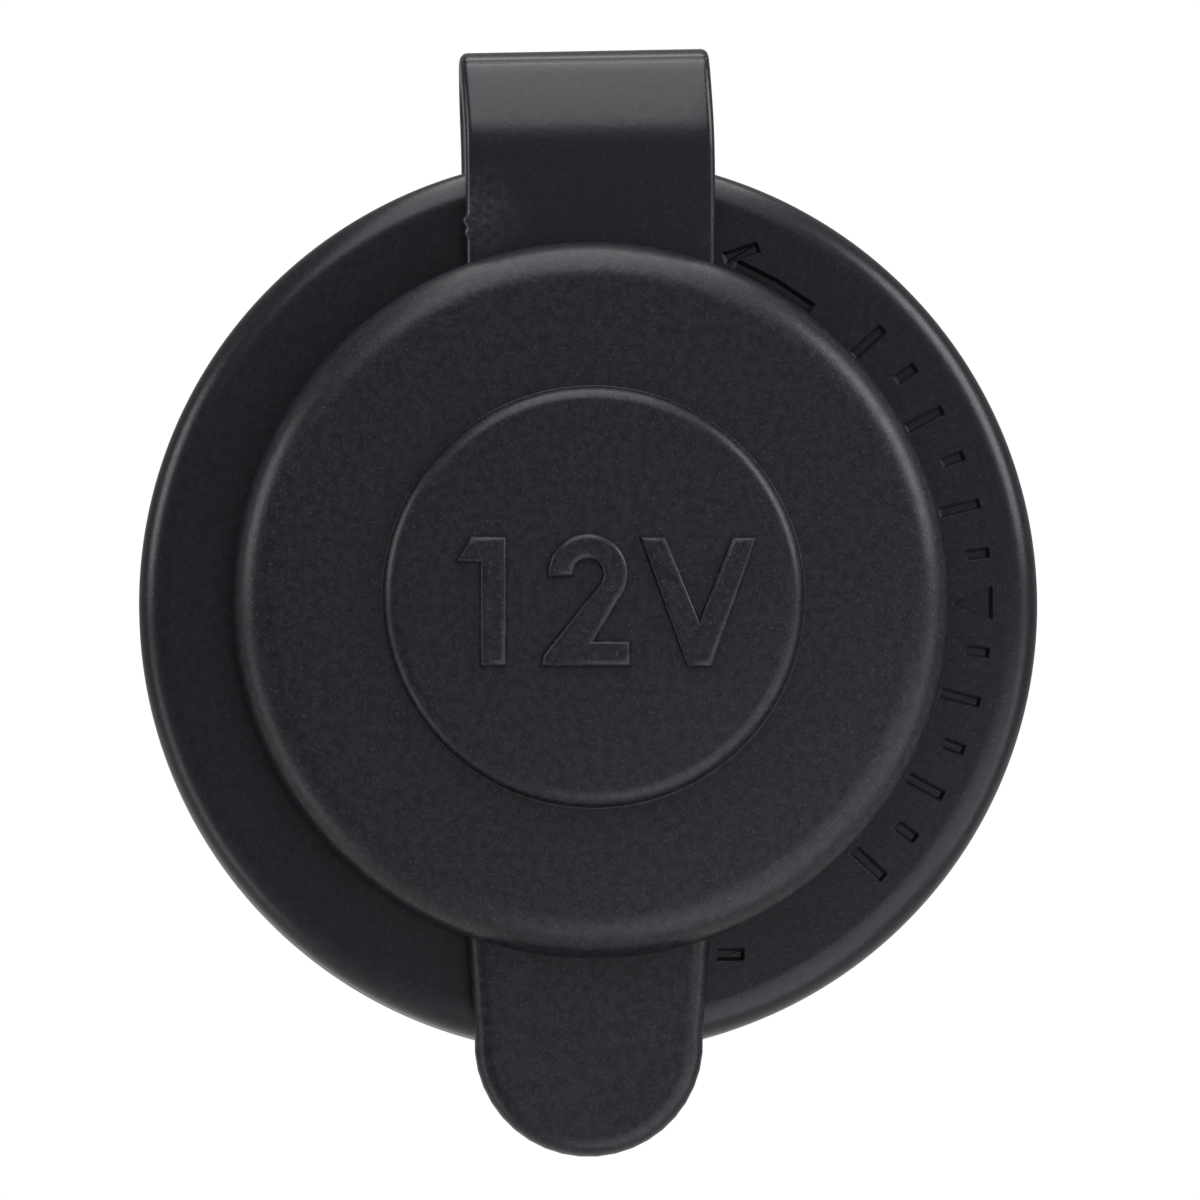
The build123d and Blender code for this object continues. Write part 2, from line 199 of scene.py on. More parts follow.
def grid_quads(rows: int, columns: int, wrap_rows: bool, wrap_columns: bool) -> NDArray[np.int64]:
    """Quads of a grid whose point (i, j) has index i * columns + j.

    Args:
        rows: number of rows.
        columns: number of columns.
        wrap_rows: whether the last row joins the first.
        wrap_columns: whether the last column joins the first.
    Returns:
        One row of four indices per quad.
    """
    i, j = np.meshgrid(
        np.arange(rows if wrap_rows else rows - 1),
        np.arange(columns if wrap_columns else columns - 1),
        indexing="ij",
    )
    i2, j2 = (i + 1) % rows, (j + 1) % columns
    quads = np.stack([i * columns + j, i2 * columns + j, i2 * columns + j2, i * columns + j2], axis=-1)
    return quads.reshape(-1, 4)


def turned(profile: Array, closed: bool = True, segments: int = 240) -> Surface:
    """Surface of revolution about the socket axis.

    The profile's point (radius, y) at angle a goes to (radius sin a, y, radius cos a).

    Args:
        profile: points (radius, y).
        closed: whether the profile is a loop; an open one starts and ends on the axis.
        segments: steps around the axis.
    Returns:
        The closed surface.
    """
    angle = np.linspace(0, 2 * math.pi, segments, endpoint=False)[:, None]
    radius, y = profile[None, :, 0], profile[None, :, 1]
    points = np.stack([radius * np.sin(angle), y + 0 * angle, radius * np.cos(angle)], axis=-1)
    return Surface(points.reshape(-1, 3), [grid_quads(segments, len(profile), True, closed)])


def lofted(points: Array) -> Surface:
    """Joins rings of points into a tube and closes its ends with flat caps.

    Args:
        points: (x, y, z) by ring and by place along the ring.
    Returns:
        The closed surface.
    """
    rings, count = points.shape[:2]
    first = np.arange(count)
    caps = np.stack([first, first[::-1] + (rings - 1) * count])
    return Surface(points.reshape(-1, 3), [grid_quads(rings, count, False, True), caps])


def plate(outline: Array, section: Array) -> Surface:
    """A front-view outline carried through a section of (inset, y), with flat caps at both ends.

    Each ring is the outline moved inwards by its inset. A point moves along the mitre of its two edges,
    by inset / cos(half the turn there), and very sharp corners are held back.

    Args:
        outline: points (x, z) of a simple loop.
        section: rows (inset, y) from one face to the other.
    Returns:
        The closed surface.
    """
    sharpest = 0.5
    ahead = np.roll(outline, -1, axis=0) - outline
    ahead /= np.linalg.norm(ahead, axis=1, keepdims=True)
    along = ahead + np.roll(ahead, 1, axis=0)
    area = np.sum(outline[:, 0] * np.roll(outline[:, 1], -1) - outline[:, 1] * np.roll(outline[:, 0], -1))
    inward = np.stack([-along[:, 1], along[:, 0]], axis=1) * np.sign(area)
    inward *= 2 / np.maximum(np.sum(along**2, axis=1, keepdims=True), sharpest)
    flat = outline[None] + section[:, :1, None] * inward[None]
    depth = np.broadcast_to(section[:, 1, None], flat.shape[:2])
    return lofted(np.stack([flat[..., 0], depth, flat[..., 1]], axis=-1))


def prism(outline: Array, y_front: float, y_rear: float) -> Surface:
    """A front-view outline with straight walls between two depths."""
    return plate(outline, np.array([[0, y_front], [0, y_rear]]))


def rectangle(x_low: float, x_high: float, z_low: float, z_high: float) -> Array:
    """Front-view outline of a rectangle."""
    return np.array([[x_low, z_low], [x_high, z_low], [x_high, z_high], [x_low, z_high]])


def ring_sector(inner: float, outer: float, start: float, end: float) -> Array:
    """Front-view outline of a piece of a ring about the socket axis; degrees from +x towards +z."""
    return np.concatenate([arc_points((0, 0), outer, start, end), arc_points((0, 0), inner, end, start)])


def rotated(outline: Array, degrees: float) -> Array:
    """A front-view outline turned about the socket axis, from +x towards +z."""
    c, s = math.cos(math.radians(degrees)), math.sin(math.radians(degrees))
    return outline @ np.array([[c, s], [-s, c]])


def swept_strip(
    path: Array, width: Array, thickness: Array, edge_round: float, x_shift: Array, across: int = 16
) -> Surface:
    """A strip of rounded-rectangle section carried along a path in the (y, z) plane.

    The section's point (a, b) goes to x = shift + a, and b along the path's normal, which is its tangent
    turned by a quarter turn. Its flats are divided evenly and its corners are quarter circles.

    Args:
        path: points (y, z) of the strip's middle line.
        width: width at each path point.
        thickness: thickness at each path point.
        edge_round: radius of the four long edges.
        x_shift: sideways shift at each path point.
        across: divisions of each wide face.
    Returns:
        The closed surface.
    """
    corner_points = 6
    flat = np.linspace(-1, 1, across + 1)
    quarter = quarter_turn(corner_points)[1:-1]
    still = np.zeros_like(quarter)
    sides = []
    for up in (1, -1):
        bend = up * edge_round
        wide = np.stack([up * flat, up + 0 * flat, 0 * flat, bend + 0 * flat], axis=1)
        corner = [still + up, still + up, bend * np.sin(quarter), bend * np.cos(quarter)]
        edge = np.array([[up, up, bend, 0], [up, -up, bend, 0]], float)
        last = [still + up, still - up, bend * np.cos(quarter), -bend * np.sin(quarter)]
        sides += [wide, np.stack(corner, axis=1), edge, np.stack(last, axis=1)]
    section = np.concatenate(sides)
    tangent = np.gradient(path, axis=0)
    tangent /= np.linalg.norm(tangent, axis=1, keepdims=True)
    normal = np.stack([-tangent[:, 1], tangent[:, 0]], axis=1)
    x = x_shift[:, None] + section[None, :, 0] * (width / 2 - edge_round)[:, None] + section[None, :, 2]
    lift = section[None, :, 1] * (thickness / 2 - edge_round)[:, None] + section[None, :, 3]
    flat_points = path[:, None] + lift[..., None] * normal[:, None]
    return lofted(np.concatenate([x[..., None], flat_points], axis=-1))


def helical_ridge(section: Array, start_y: float, turns: float, pitch: float, sink: float) -> Surface:
    """A closed section of (radius, y offset) carried along a right-hand helix about the socket axis.

    At angle a the section's point goes to (radius sin a, start_y + pitch a / 2 pi + offset, radius cos a).
    Over the first and last part of a turn the ridge sinks radially by up to sink, so that it runs out
    into its wall.

    Args:
        section: loop of (radius, y offset).
        start_y: depth of the first section's middle.
        turns: length of the helix in turns.
        pitch: advance per turn.
        sink: radial distance to run out, positive towards the axis.
    Returns:
        The closed surface.
    """
    run_out, steps_per_turn = 0.45, 120
    turn = np.linspace(0, turns, math.ceil(turns * steps_per_turn) + 1)[:, None]
    standing = smooth_step(turn, 0, run_out) * smooth_step(turns - turn, 0, run_out)
    radius = section[None, :, 0] - sink * (1 - standing)
    y = start_y + pitch * turn + section[None, :, 1]
    angle = 2 * math.pi * turn
    return lofted(np.stack([radius * np.sin(angle), y, radius * np.cos(angle)], axis=-1))


def make_piece(name: str, surface: Surface) -> bpy.types.Object:
    """Puts a surface into a new mesh object at the origin, with doubles merged and faces outwards.

    Args:
        name: the object's name.
        surface: the closed surface.
    Returns:
        The new object, linked to the scene.
    """
    mesh = bpy.data.meshes.new(name)
    faces = [face for block in surface.blocks for face in block.tolist()]
    mesh.from_pydata((surface.points * MM).tolist(), [], faces)
    shape = bmesh.new()
    shape.from_mesh(mesh)
    bmesh.ops.remove_doubles(shape, verts=shape.verts[:], dist=MERGE * MM)
    bmesh.ops.dissolve_degenerate(shape, edges=shape.edges[:], dist=MERGE * MM)
    bmesh.ops.recalc_face_normals(shape, faces=shape.faces[:])
    shape.to_mesh(mesh)
    shape.free()
    piece = bpy.data.objects.new(name, mesh)
    bpy.context.scene.collection.objects.link(piece)
    return piece


def combine(piece: bpy.types.Object, surface: Surface, how: Combine) -> None:
    """Adds a closed surface to a piece or cuts it away, leaving one clean mesh.

    Args:
        piece: the object to change.
        surface: the tool shape.
        how: add or cut.
    """
    tool = make_piece("tool", surface)
    modifier = piece.modifiers.new("combine", "BOOLEAN")
    modifier.operation = how.value
    modifier.solver = "MANIFOLD"
    modifier.object = tool
    bpy.context.view_layer.update()
    graph = bpy.context.evaluated_depsgraph_get()
    result = bpy.data.meshes.new_from_object(piece.evaluated_get(graph))
    piece.modifiers.clear()
    old = piece.data
    piece.data = result
    result.name = piece.name
    for mesh in (old, tool.data):
        bpy.data.meshes.remove(mesh)


def dress(piece: bpy.types.Object, material: bpy.types.Material, node: str) -> bpy.types.Object:
    """Shades a finished piece, gives it its material and says which CAD node it stands for.

    Args:
        piece: the object.
        material: its finish.
        node: the CAD node it replaces.
    Returns:
        The same object.
    """
    piece.data.materials.clear()
    piece.data.materials.append(material)
    piece.data.shade_smooth()
    piece.data.set_sharp_from_angle(angle=SHARP)
    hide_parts(node)
    LOG.info("%s: %d faces, stands for %s", piece.name, len(piece.data.polygons), node)
    return piece


def to_linear(hex_colour: str) -> tuple[float, float, float, float]:
    """Turns an sRGB hex colour such as #2d2b30 into linear RGBA.

    Args:
        hex_colour: the colour.
    Returns:
        Linear red, green, blue and an alpha of 1.
    """
    srgb = np.array([int(hex_colour[i : i + 2], 16) for i in (1, 3, 5)]) / 255
    linear = np.where(srgb <= 0.04045, srgb / 12.92, ((srgb + 0.055) / 1.055) ** 2.4)
    return (*linear.tolist(), 1.0)


def add_node(
    tree: bpy.types.NodeTree, kind: str, inputs: dict[Any, Any] | None = None, **settings: Any
) -> bpy.types.Node:
    """Adds one node with its settings and links.

    Args:
        tree: the node tree.
        kind: the node's type name.
        inputs: input name or index to a value, or to an output socket to link.
        settings: the node's own properties.
    Returns:
        The new node.
    """
    node = tree.nodes.new(kind)
    for name, value in settings.items():
        setattr(node, name, value)
    for key, value in (inputs or {}).items():
        if isinstance(value, bpy.types.NodeSocket):
            tree.links.new(value, node.inputs[key])
        else:
            node.inputs[key].default_value = value
    return node


def new_material(name: str) -> bpy.types.Material:
    """An empty node material.

    Args:
        name: the material's name.
    Returns:
        The material, with no node in its tree.
    """
    material = bpy.data.materials.new(name)
    material.use_nodes = True
    material.node_tree.nodes.clear()
    return material


@dataclass(frozen=True)
class MouldedFinish:
    """Plastic or rubber moulded in a spark-eroded tool.

    The tool leaves an even grain of rounded pits. On black, that gives the eye a dull face with tiny glints
    where a lit edge turns, and a faint cloudiness where the melt flowed. Pale flecks on the grain's highest
    spots are painted into the colour as glints: painted highlights. Behind a given depth the tool was
    polished, and a handled spot can be scuffed pale.
    """

    name: str
    colour: str
    cloud_colour: str
    painted_glint_colour: str
    roughness: float
    cloud_roughness: float
    specular: float
    shine_colour: str = "#fbf8ff"
    # Real pits are about 0.05 mm wide, too fine to show, so the grain is drawn at three times that or more
    grain_mm: float = 0.15
    grain_depth_mm: float = 0.009
    cloud_mm: float = 0.45
    polished_from_mm: float | None = None
    polish_run_mm: float = 0.6
    polished_grain: float = 0.2
    scuff_place_mm: tuple[float, float, float] = (0.0, 0.0, 0.0)
    scuff_reach_mm: float = 0.0
    scuff_streak_mm: float = 0.35
    scuff_colour: str = "#28262a"

    def scuff_share(self, tree: bpy.types.NodeTree, place: bpy.types.NodeSocket) -> bpy.types.NodeSocket:
        """Streaky noise that fades out with distance from the scuffed spot.

        Args:
            tree: the material's node tree.
            place: where the shaded point is.
        Returns:
            How scuffed each point is, from 0 to 1.
        """
        spot = tuple(value * MM for value in self.scuff_place_mm)
        away = add_node(tree, "ShaderNodeVectorMath", {0: place, 1: spot}, operation="DISTANCE")
        near = add_node(
            tree,
            "ShaderNodeMapRange",
            {"Value": away.outputs["Value"], "From Min": self.scuff_reach_mm * MM, "From Max": 0.0},
            interpolation_type="SMOOTHSTEP",
        ).outputs["Result"]
        streaks = add_node(
            tree,
            "ShaderNodeTexNoise",
            {"Vector": place, "Scale": 1 / (self.scuff_streak_mm * MM), "Detail": 5.0, "Roughness": 0.7},
        ).outputs["Fac"]
        worn = add_node(
            tree, "ShaderNodeMapRange", {"Value": streaks, "From Min": 0.4, "From Max": 0.8}
        ).outputs["Result"]
        return add_node(tree, "ShaderNodeMath", {0: near, 1: worn}, operation="MULTIPLY").outputs["Value"]

    def grain_share(self, tree: bpy.types.NodeTree, place: bpy.types.NodeSocket) -> bpy.types.NodeSocket:
        """Full grain in front of the polished part of the tool and little behind it.

        Args:
            tree: the material's node tree.
            place: where the shaded point is.
        Returns:
            How strong the grain is at each point.
        """
        depth = add_node(tree, "ShaderNodeSeparateXYZ", {"Vector": place}).outputs["Y"]
        start, end = self.polished_from_mm * MM, (self.polished_from_mm + self.polish_run_mm) * MM
        fall = {"Value": depth, "From Min": start, "From Max": end}
        fall |= {"To Min": 1.0, "To Max": self.polished_grain}
        return add_node(tree, "ShaderNodeMapRange", fall).outputs["Result"]

    def material(self) -> bpy.types.Material:
        """Builds the node material.

        Returns:
            The material.
        """
        material = new_material(self.name)
        tree = material.node_tree
        place = add_node(tree, "ShaderNodeTexCoord").outputs["Object"]
        cloud = add_node(
            tree,
            "ShaderNodeTexNoise",
            {"Vector": place, "Scale": 1 / (self.cloud_mm * MM), "Detail": 4.0, "Roughness": 0.7},
        ).outputs["Fac"]
        cloud_share = add_node(
            tree, "ShaderNodeMapRange", {"Value": cloud, "From Min": 0.4, "From Max": 0.6}
        ).outputs["Result"]
        grain = add_node(
            tree,
            "ShaderNodeTexNoise",
            {"Vector": place, "Scale": 1 / (self.grain_mm * MM), "Detail": 1.5, "Roughness": 0.55},
        ).outputs["Fac"]
        # Pale flecks painted into the colour on the grain's highest spots: painted glints
        painted_glint_share = add_node(
            tree, "ShaderNodeMapRange", {"Value": grain, "From Min": 0.58, "From Max": 0.74}
        ).outputs["Result"]
        layers = [(cloud_share, self.cloud_colour), (painted_glint_share, self.painted_glint_colour)]
        if self.scuff_reach_mm:
            layers.append((self.scuff_share(tree, place), self.scuff_colour))
        colour = to_linear(self.colour)
        for share, layer_colour in layers:
            colour = add_node(
                tree,
                "ShaderNodeMix",
                {"Factor": share, 6: colour, 7: to_linear(layer_colour)},
                data_type="RGBA",
            ).outputs[2]
        sheen = {"Value": cloud, "From Min": 0.3, "From Max": 0.7}
        sheen |= {"To Min": self.roughness, "To Max": self.cloud_roughness}
        roughness = add_node(tree, "ShaderNodeMapRange", sheen).outputs["Result"]
        strength = 1.0 if self.polished_from_mm is None else self.grain_share(tree, place)
        bump = add_node(
            tree,
            "ShaderNodeBump",
            {"Height": grain, "Strength": strength, "Distance": self.grain_depth_mm * MM},
        ).outputs["Normal"]
        shader = add_node(
            tree,
            "ShaderNodeBsdfPrincipled",
            {
                "Base Color": colour,
                "Roughness": roughness,
                "Specular IOR Level": self.specular,
                "Specular Tint": to_linear(self.shine_colour),
                "Normal": bump,
            },
        )
        add_node(tree, "ShaderNodeOutputMaterial", {"Surface": shader.outputs["BSDF"]})
        return material


@dataclass(frozen=True)
class MetalFinish:
    """Sheet metal, drawn or stamped and then plated or left bare.

    Drawing and rolling leave fine streaks along the metal, which spread a highlight across them, and
    handling leaves cloudy tarnish.
    """

    name: str
    colour: str
    tarnish: str
    roughness: float
    streak_mm: tuple[float, float, float]
    streak_depth_mm: float
    cloud_mm: float = 3.0
    smoothest: float = 0.75
    roughest: float = 1.35

    def material(self) -> bpy.types.Material:
        """Builds the node material.

        Returns:
            The material.
        """
        material = new_material(self.name)
        tree = material.node_tree
        place = add_node(tree, "ShaderNodeTexCoord").outputs["Object"]
        cloud = add_node(
            tree, "ShaderNodeTexNoise", {"Vector": place, "Scale": 1 / (self.cloud_mm * MM), "Detail": 3.0}
        ).outputs["Fac"]
        cloud_share = add_node(
            tree, "ShaderNodeMapRange", {"Value": cloud, "From Min": 0.45, "From Max": 0.75}
        ).outputs["Result"]
        stretch = tuple(1 / (size * MM) for size in self.streak_mm)
        stretched = add_node(tree, "ShaderNodeMapping", {"Vector": place, "Scale": stretch})
        streak = add_node(
            tree,
            "ShaderNodeTexNoise",
            {"Vector": stretched.outputs["Vector"], "Scale": 1.0, "Detail": 2.0},
        ).outputs["Fac"]
        colour = add_node(
            tree,
            "ShaderNodeMix",
            {"Factor": cloud_share, 6: to_linear(self.colour), 7: to_linear(self.tarnish)},
            data_type="RGBA",
        ).outputs[2]
        sheen = {"Value": streak, "From Min": 0.3, "From Max": 0.7}
        sheen |= {"To Min": self.roughness * self.smoothest, "To Max": self.roughness * self.roughest}
        roughness = add_node(tree, "ShaderNodeMapRange", sheen).outputs["Result"]
        bump = add_node(
            tree,
            "ShaderNodeBump",
            {"Height": streak, "Strength": 0.6, "Distance": self.streak_depth_mm * MM},
        ).outputs["Normal"]
        shader = add_node(
            tree,
            "ShaderNodeBsdfPrincipled",
            {"Base Color": colour, "Metallic": 1.0, "Roughness": roughness, "Normal": bump},
        )
        add_node(tree, "ShaderNodeOutputMaterial", {"Surface": shader.outputs["BSDF"]})
        return material


# Soft rubber from an eroded tool: dull black, mottled, with fine pale flecks painted into the colour as
# glints
CAP_RUBBER = MouldedFinish("moulded cap rubber", "#040305", "#100e12", "#1c1a1f", 0.39, 0.33, 0.15)
# The same rubber where the tool is smoother: an even black with a closer sheen, scuffed at its left edge
STRAP_RUBBER = MouldedFinish(
    "smooth strap rubber",
    "#0a070e",
    "#0c0a10",
    "#121015",
    0.31,
    0.25,
    0.158,
    shine_colour="#ffffff",
    grain_mm=0.25,
    grain_depth_mm=0.006,
    scuff_place_mm=(-5.9, -6.8, 19.3),
    scuff_reach_mm=3.2,
)
# Black nylon: a fine grain on the flange's face and a smooth polished barrel behind it
BODY_PLASTIC = MouldedFinish(
    "grained flange nylon",
    "#080609",
    "#0e0c10",
    "#161418",
    0.31,
    0.26,
    0.15,
    grain_depth_mm=0.006,
    polished_from_mm=-0.4,
)
# Black nylon from a plain tool: a little greyer than the socket, with a soft gloss
NUT_PLASTIC = MouldedFinish(
    "moulded nut nylon",
    "#18181a",
    "#1d1d1f",
    "#252528",
    0.46,
    0.4,
    0.3,
    grain_mm=0.22,
    grain_depth_mm=0.008,
)
# Nylon without pigment: a waxy cream
INSULATOR_NYLON = MouldedFinish(
    "natural nylon",
    "#d9d0b8",
    "#cfc4a6",
    "#dfd8c4",
    0.45,
    0.38,
    0.5,
    grain_mm=0.3,
    grain_depth_mm=0.004,
)
# Nickel on deep-drawn sheet: bright, with faint lines along the draw
NICKEL_PLATE = MetalFinish("drawn nickel plate", "#dad8d4", "#c6c3bd", 0.24, (0.12, 6.0, 0.12), 0.004)
# Bare brass strip: warm yellow, with faint lines from the rolling
CONTACT_BRASS = MetalFinish("stamped brass", "#e6c27c", "#c49c58", 0.3, (4.0, 4.0, 0.15), 0.003)
# Zinc on blanked steel sheet: a dull blue-grey
WASHER_ZINC = MetalFinish("zinc plated steel", "#aeb2b7", "#9da1a6", 0.46, (0.06, 3.0, 3.0), 0.0002)


@dataclass
class Cap:
    """The soft cap: one moulding of lid, folded strap and trapped ring."""

    boss_radius: float = 10.45
    boss_height: float = 0.9
    boss_round: float = 0.8
    boss_foot_round: float = 0.06
    lid_radius: float = 17.85
    lid_round: float = 2.1
    lid_rear_round: float = 0.35
    sheet: float = 1.6
    core_depth: float = 1.9
    core_inner: float = 13.0
    core_outer: float = 16.1
    core_draft: float = 0.25
    core_mouth_round: float = 0.2
    core_floor_round: float = 0.3
    plug_radius: float = 11.65
    plug_bore: float = 10.0
    plug_root_round: float = 0.15
    plug_round: float = 0.3
    plug_floor_round: float = 0.5
    bead_radius: float = 11.8
    bead_from_end: float = 0.8
    bead_run: float = 0.4
    bead_round: float = 0.25
    tab_sheet: float = 1.7
    tab_root_half: float = 6.15
    tab_root_z: float = -15.0
    tab_round: float = 0.85
    tab_end_radius: float = 5.67
    tab_taper: float = 4.0
    tab_shift: float = -0.1
    mark_height: float = 0.36
    mark_round: float = 0.32
    # Share of the mark's round that lies inside its outline
    mark_round_inside: float = 0.6
    mark_draft: float = 0.14
    mark_sink: float = 0.2
    mark_support: float = 0.04
    ring_outer: float = 20.6
    ring_lip: float = 13.95
    ring_face: float = 14.5
    ring_lip_step: float = 0.4
    ring_round: float = 0.15
    ring_rear_round: float = 0.25
    ring_lip_round: float = 0.1
    strap_round: float = 0.4
    strap_start_z: float = 15.5
    strap_end_z: float = 16.4
    strap_shift: float = -0.03
    strap_taper: float = 0.1
    # How far the strap lies below ring and lid, and the heights over which it comes out of them
    ring_sink: float = 0.1
    ring_blend: tuple[float, float] = (-0.2, 1.0)
    lid_sink: float = 0.04
    lid_blend: float = 2.5
    fold_inner: float = 1.8
    fold_lift: float = 0.1
    fold_sway: float = -0.23
    sway_reach: float = 4.0
    fold_tilt: float = 0.023
    tilt_reach: float = 6.0
    # Lengths along the fold from its crest, and how far from upright it leans there
    lean_lengths: tuple[float, ...] = (0.0, 1.9, 4.3, 5.8)
    lean_slopes: tuple[float, ...] = (90.0, 30.0, 17.0, 0.0)
    crease_depth: float = 0.08
    crease_width: float = 0.08
    crease_past_crest: float = 1.2
    burr_reach: float = 0.24
    # The strap's left edge, as shares of its width from its middle
    burr_edge: tuple[float, float] = (0.43, 0.49)
    # Height, width and share of each swelling of the burr
    burr_swellings: tuple[tuple[float, float, float], ...] = ((18.9, 0.22, 1.0), (18.3, 0.16, 0.6))

    def __post_init__(self) -> None:
        """Reads the cap's place from the frame."""
        low, high = node_box("cap_lid")
        strap_low, strap_high = node_box("cap_strap")
        self.boss_front = low[1]
        self.plug_end = high[1]
        self.tab_end_z = low[2]
        self.fold_z = high[2]
        self.lid_front = self.boss_front + self.boss_height
        self.lid_rear = -2 * (self.sheet + self.fold_inner) + self.sheet
        self.fold_y = -self.sheet - self.fold_inner
        self.fold_middle = self.fold_inner + self.sheet / 2
        self.strap_width = strap_high[0] - strap_low[0]

    def lid_profile(self) -> Array:
        """Half section of the lid: boss, disc edge, coring and sealing plug with its bead.

        Returns:
            Points (radius, y) from the front pole to the rear pole.
        """
        core_floor = self.lid_rear - self.core_depth
        bead_y = self.plug_end - self.bead_from_end
        return rounded(
            [
                (0, self.boss_front, 0),
                (self.boss_radius, self.boss_front, self.boss_round),
                (self.boss_radius, self.lid_front, self.boss_foot_round),
                (self.lid_radius, self.lid_front, self.lid_round),
                (self.lid_radius, self.lid_rear, self.lid_rear_round),
                (self.core_outer, self.lid_rear, self.core_mouth_round),
                (self.core_outer - self.core_draft, core_floor, self.core_floor_round),
                (self.core_inner + self.core_draft, core_floor, self.core_floor_round),
                (self.core_inner, self.lid_rear, self.core_mouth_round),
                (self.plug_radius, self.lid_rear, self.plug_root_round),
                (self.plug_radius, bead_y - self.bead_run, self.plug_round),
                (self.bead_radius, bead_y, self.bead_round),
                (self.plug_radius - self.bead_run, self.plug_end, self.plug_round),
                (self.plug_bore, self.plug_end, self.plug_round),
                (self.plug_bore, core_floor, self.plug_floor_round),
                (0, core_floor, 0),
            ],
            closed=False,
        )

    def tab_outline(self) -> Array:
        """Front-view outline of the pull tab: sides that taper a little into a round end.

        Returns:
            Points (x, z).
        """
        centre = (0, self.tab_end_z + self.tab_end_radius)
        end = arc_points(centre, self.tab_end_radius, 180 - self.tab_taper, 360 + self.tab_taper)
        root = np.array([[self.tab_root_half, self.tab_root_z], [-self.tab_root_half, self.tab_root_z]])
        return np.concatenate([end, root]) + [self.tab_shift, 0]

    def tab_section(self) -> Array:
        """Section of the tab's plate: a quarter circle at its front edge, then a straight wall.

        Returns:
            Rows (inset, y).
        """
        front, edge = self.lid_rear - self.tab_sheet, self.tab_round
        angle = quarter_turn(8)
        arc = np.stack([edge * (1 - np.sin(angle)), front + edge * (1 - np.cos(angle))], axis=1)
        return np.concatenate([[[edge + SUPPORT, front]], arc, [[0, self.lid_rear]]])

    def rating_outlines(self) -> list[Array]:
        """Front-view outlines of the raised voltage rating, a plain sans 12V, about the boss's centre.

        Returns:
            One outline of points (x, z) per character.
        """
        top, foot, stroke = 2.8, -3.42, 1.06
        one = [[-6.06, top], [-4.43, top], [-4.43, foot], [-5.53, foot], [-5.53, 1.72], [-6.68, 1.72]]
        bowl, bowl_radius = (-0.31, 1.06), 1.9
        base = foot + stroke
        two = np.concatenate(
            [
                arc_points(bowl, bowl_radius, 182, -42),
                [[-0.2, base], [1.68, base], [1.7, foot], [-2.52, foot], [-2.45, foot + 0.4]],
                arc_points(bowl, bowl_radius - stroke, -50, 182),
            ]
        )
        vee = [[2.4, top], [3.44, top], [5.2, -1.5], [6.9, top], [7.92, top], [5.74, foot], [4.66, foot]]
        return [np.array(one), two, np.array(vee)]

    def rating_section(self) -> Array:
        """Section of a raised mark: sunk foot, drafted wall, rounded top edge.

        Returns:
            Rows (inset, y).
        """
        top = self.boss_front - self.mark_height
        angle = quarter_turn(5)
        inset = self.mark_round * (self.mark_round_inside - np.cos(angle))
        arc = np.stack([inset, top + self.mark_round * (1 - np.sin(angle))], axis=1)
        foot = [[-self.mark_draft, self.boss_front + self.mark_sink], [-self.mark_draft, self.boss_front]]
        return np.concatenate([foot, arc, [[inset[-1] + self.mark_support, top]]])

    def build_lid(self, rubber: bpy.types.Material) -> None:
        """Lid with its boss, raised rating, tab and sealing plug.

        Args:
            rubber: the cap's finish.
        """
        lid = make_piece("lid_moulding", turned(self.lid_profile(), closed=False, segments=288))
        combine(lid, plate(self.tab_outline(), self.tab_section()), Combine.ADD)
        for outline in self.rating_outlines():
            combine(lid, plate(outline, self.rating_section()), Combine.ADD)
        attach(lid, Body.LID.value)
        dress(lid, rubber, "cap_lid")

    @staticmethod
    def upright_run(y: float, z_start: float, z_end: float, points: int) -> Array:
        """Evenly spaced points (y, z) of a straight upright run."""
        return np.stack([np.full(points, y), np.linspace(z_start, z_end, points)], axis=1)

    def strap_path(self) -> Array:
        """Middle line of the strap: up behind the flange, over the fold, down to the lid.

        The fold's rear quarter is round. In front of the crest the strap turns down tightly, leans almost
        straight and then turns upright: its slope there is read off a broken line over the length and
        summed up to points.

        Returns:
            Points (y, z).
        """
        gap = 0.1
        rear_points, fold_points, lean_points, front_points = 30, 121, 160, 40
        rear_y, front_y = -self.sheet / 2, self.lid_rear - self.sheet / 2
        rear = self.upright_run(rear_y, self.strap_start_z, self.fold_z - gap, rear_points)
        angle = quarter_turn(fold_points)
        crest = self.fold_z + self.fold_middle + self.fold_lift
        quarter_y = self.fold_y + self.fold_middle * np.cos(angle)
        quarter_z = crest - (self.fold_middle + self.fold_lift) * (1 - np.sin(angle))
        step = self.lean_lengths[-1] / lean_points
        lengths = np.arange(0.5, lean_points) * step
        slope = np.radians(np.interp(lengths, self.lean_lengths, self.lean_slopes))
        forward, down = np.cumsum(np.sin(slope)) * step, np.cumsum(np.cos(slope)) * step
        lean_y = self.fold_y + (front_y - self.fold_y) * forward / forward[-1]
        lean_z = crest - down
        front = self.upright_run(front_y, lean_z[-1] - gap, self.strap_end_z, front_points)
        fold = [np.stack([quarter_y, quarter_z], axis=1), np.stack([lean_y, lean_z], axis=1)]
        return np.concatenate([rear, *fold, front])

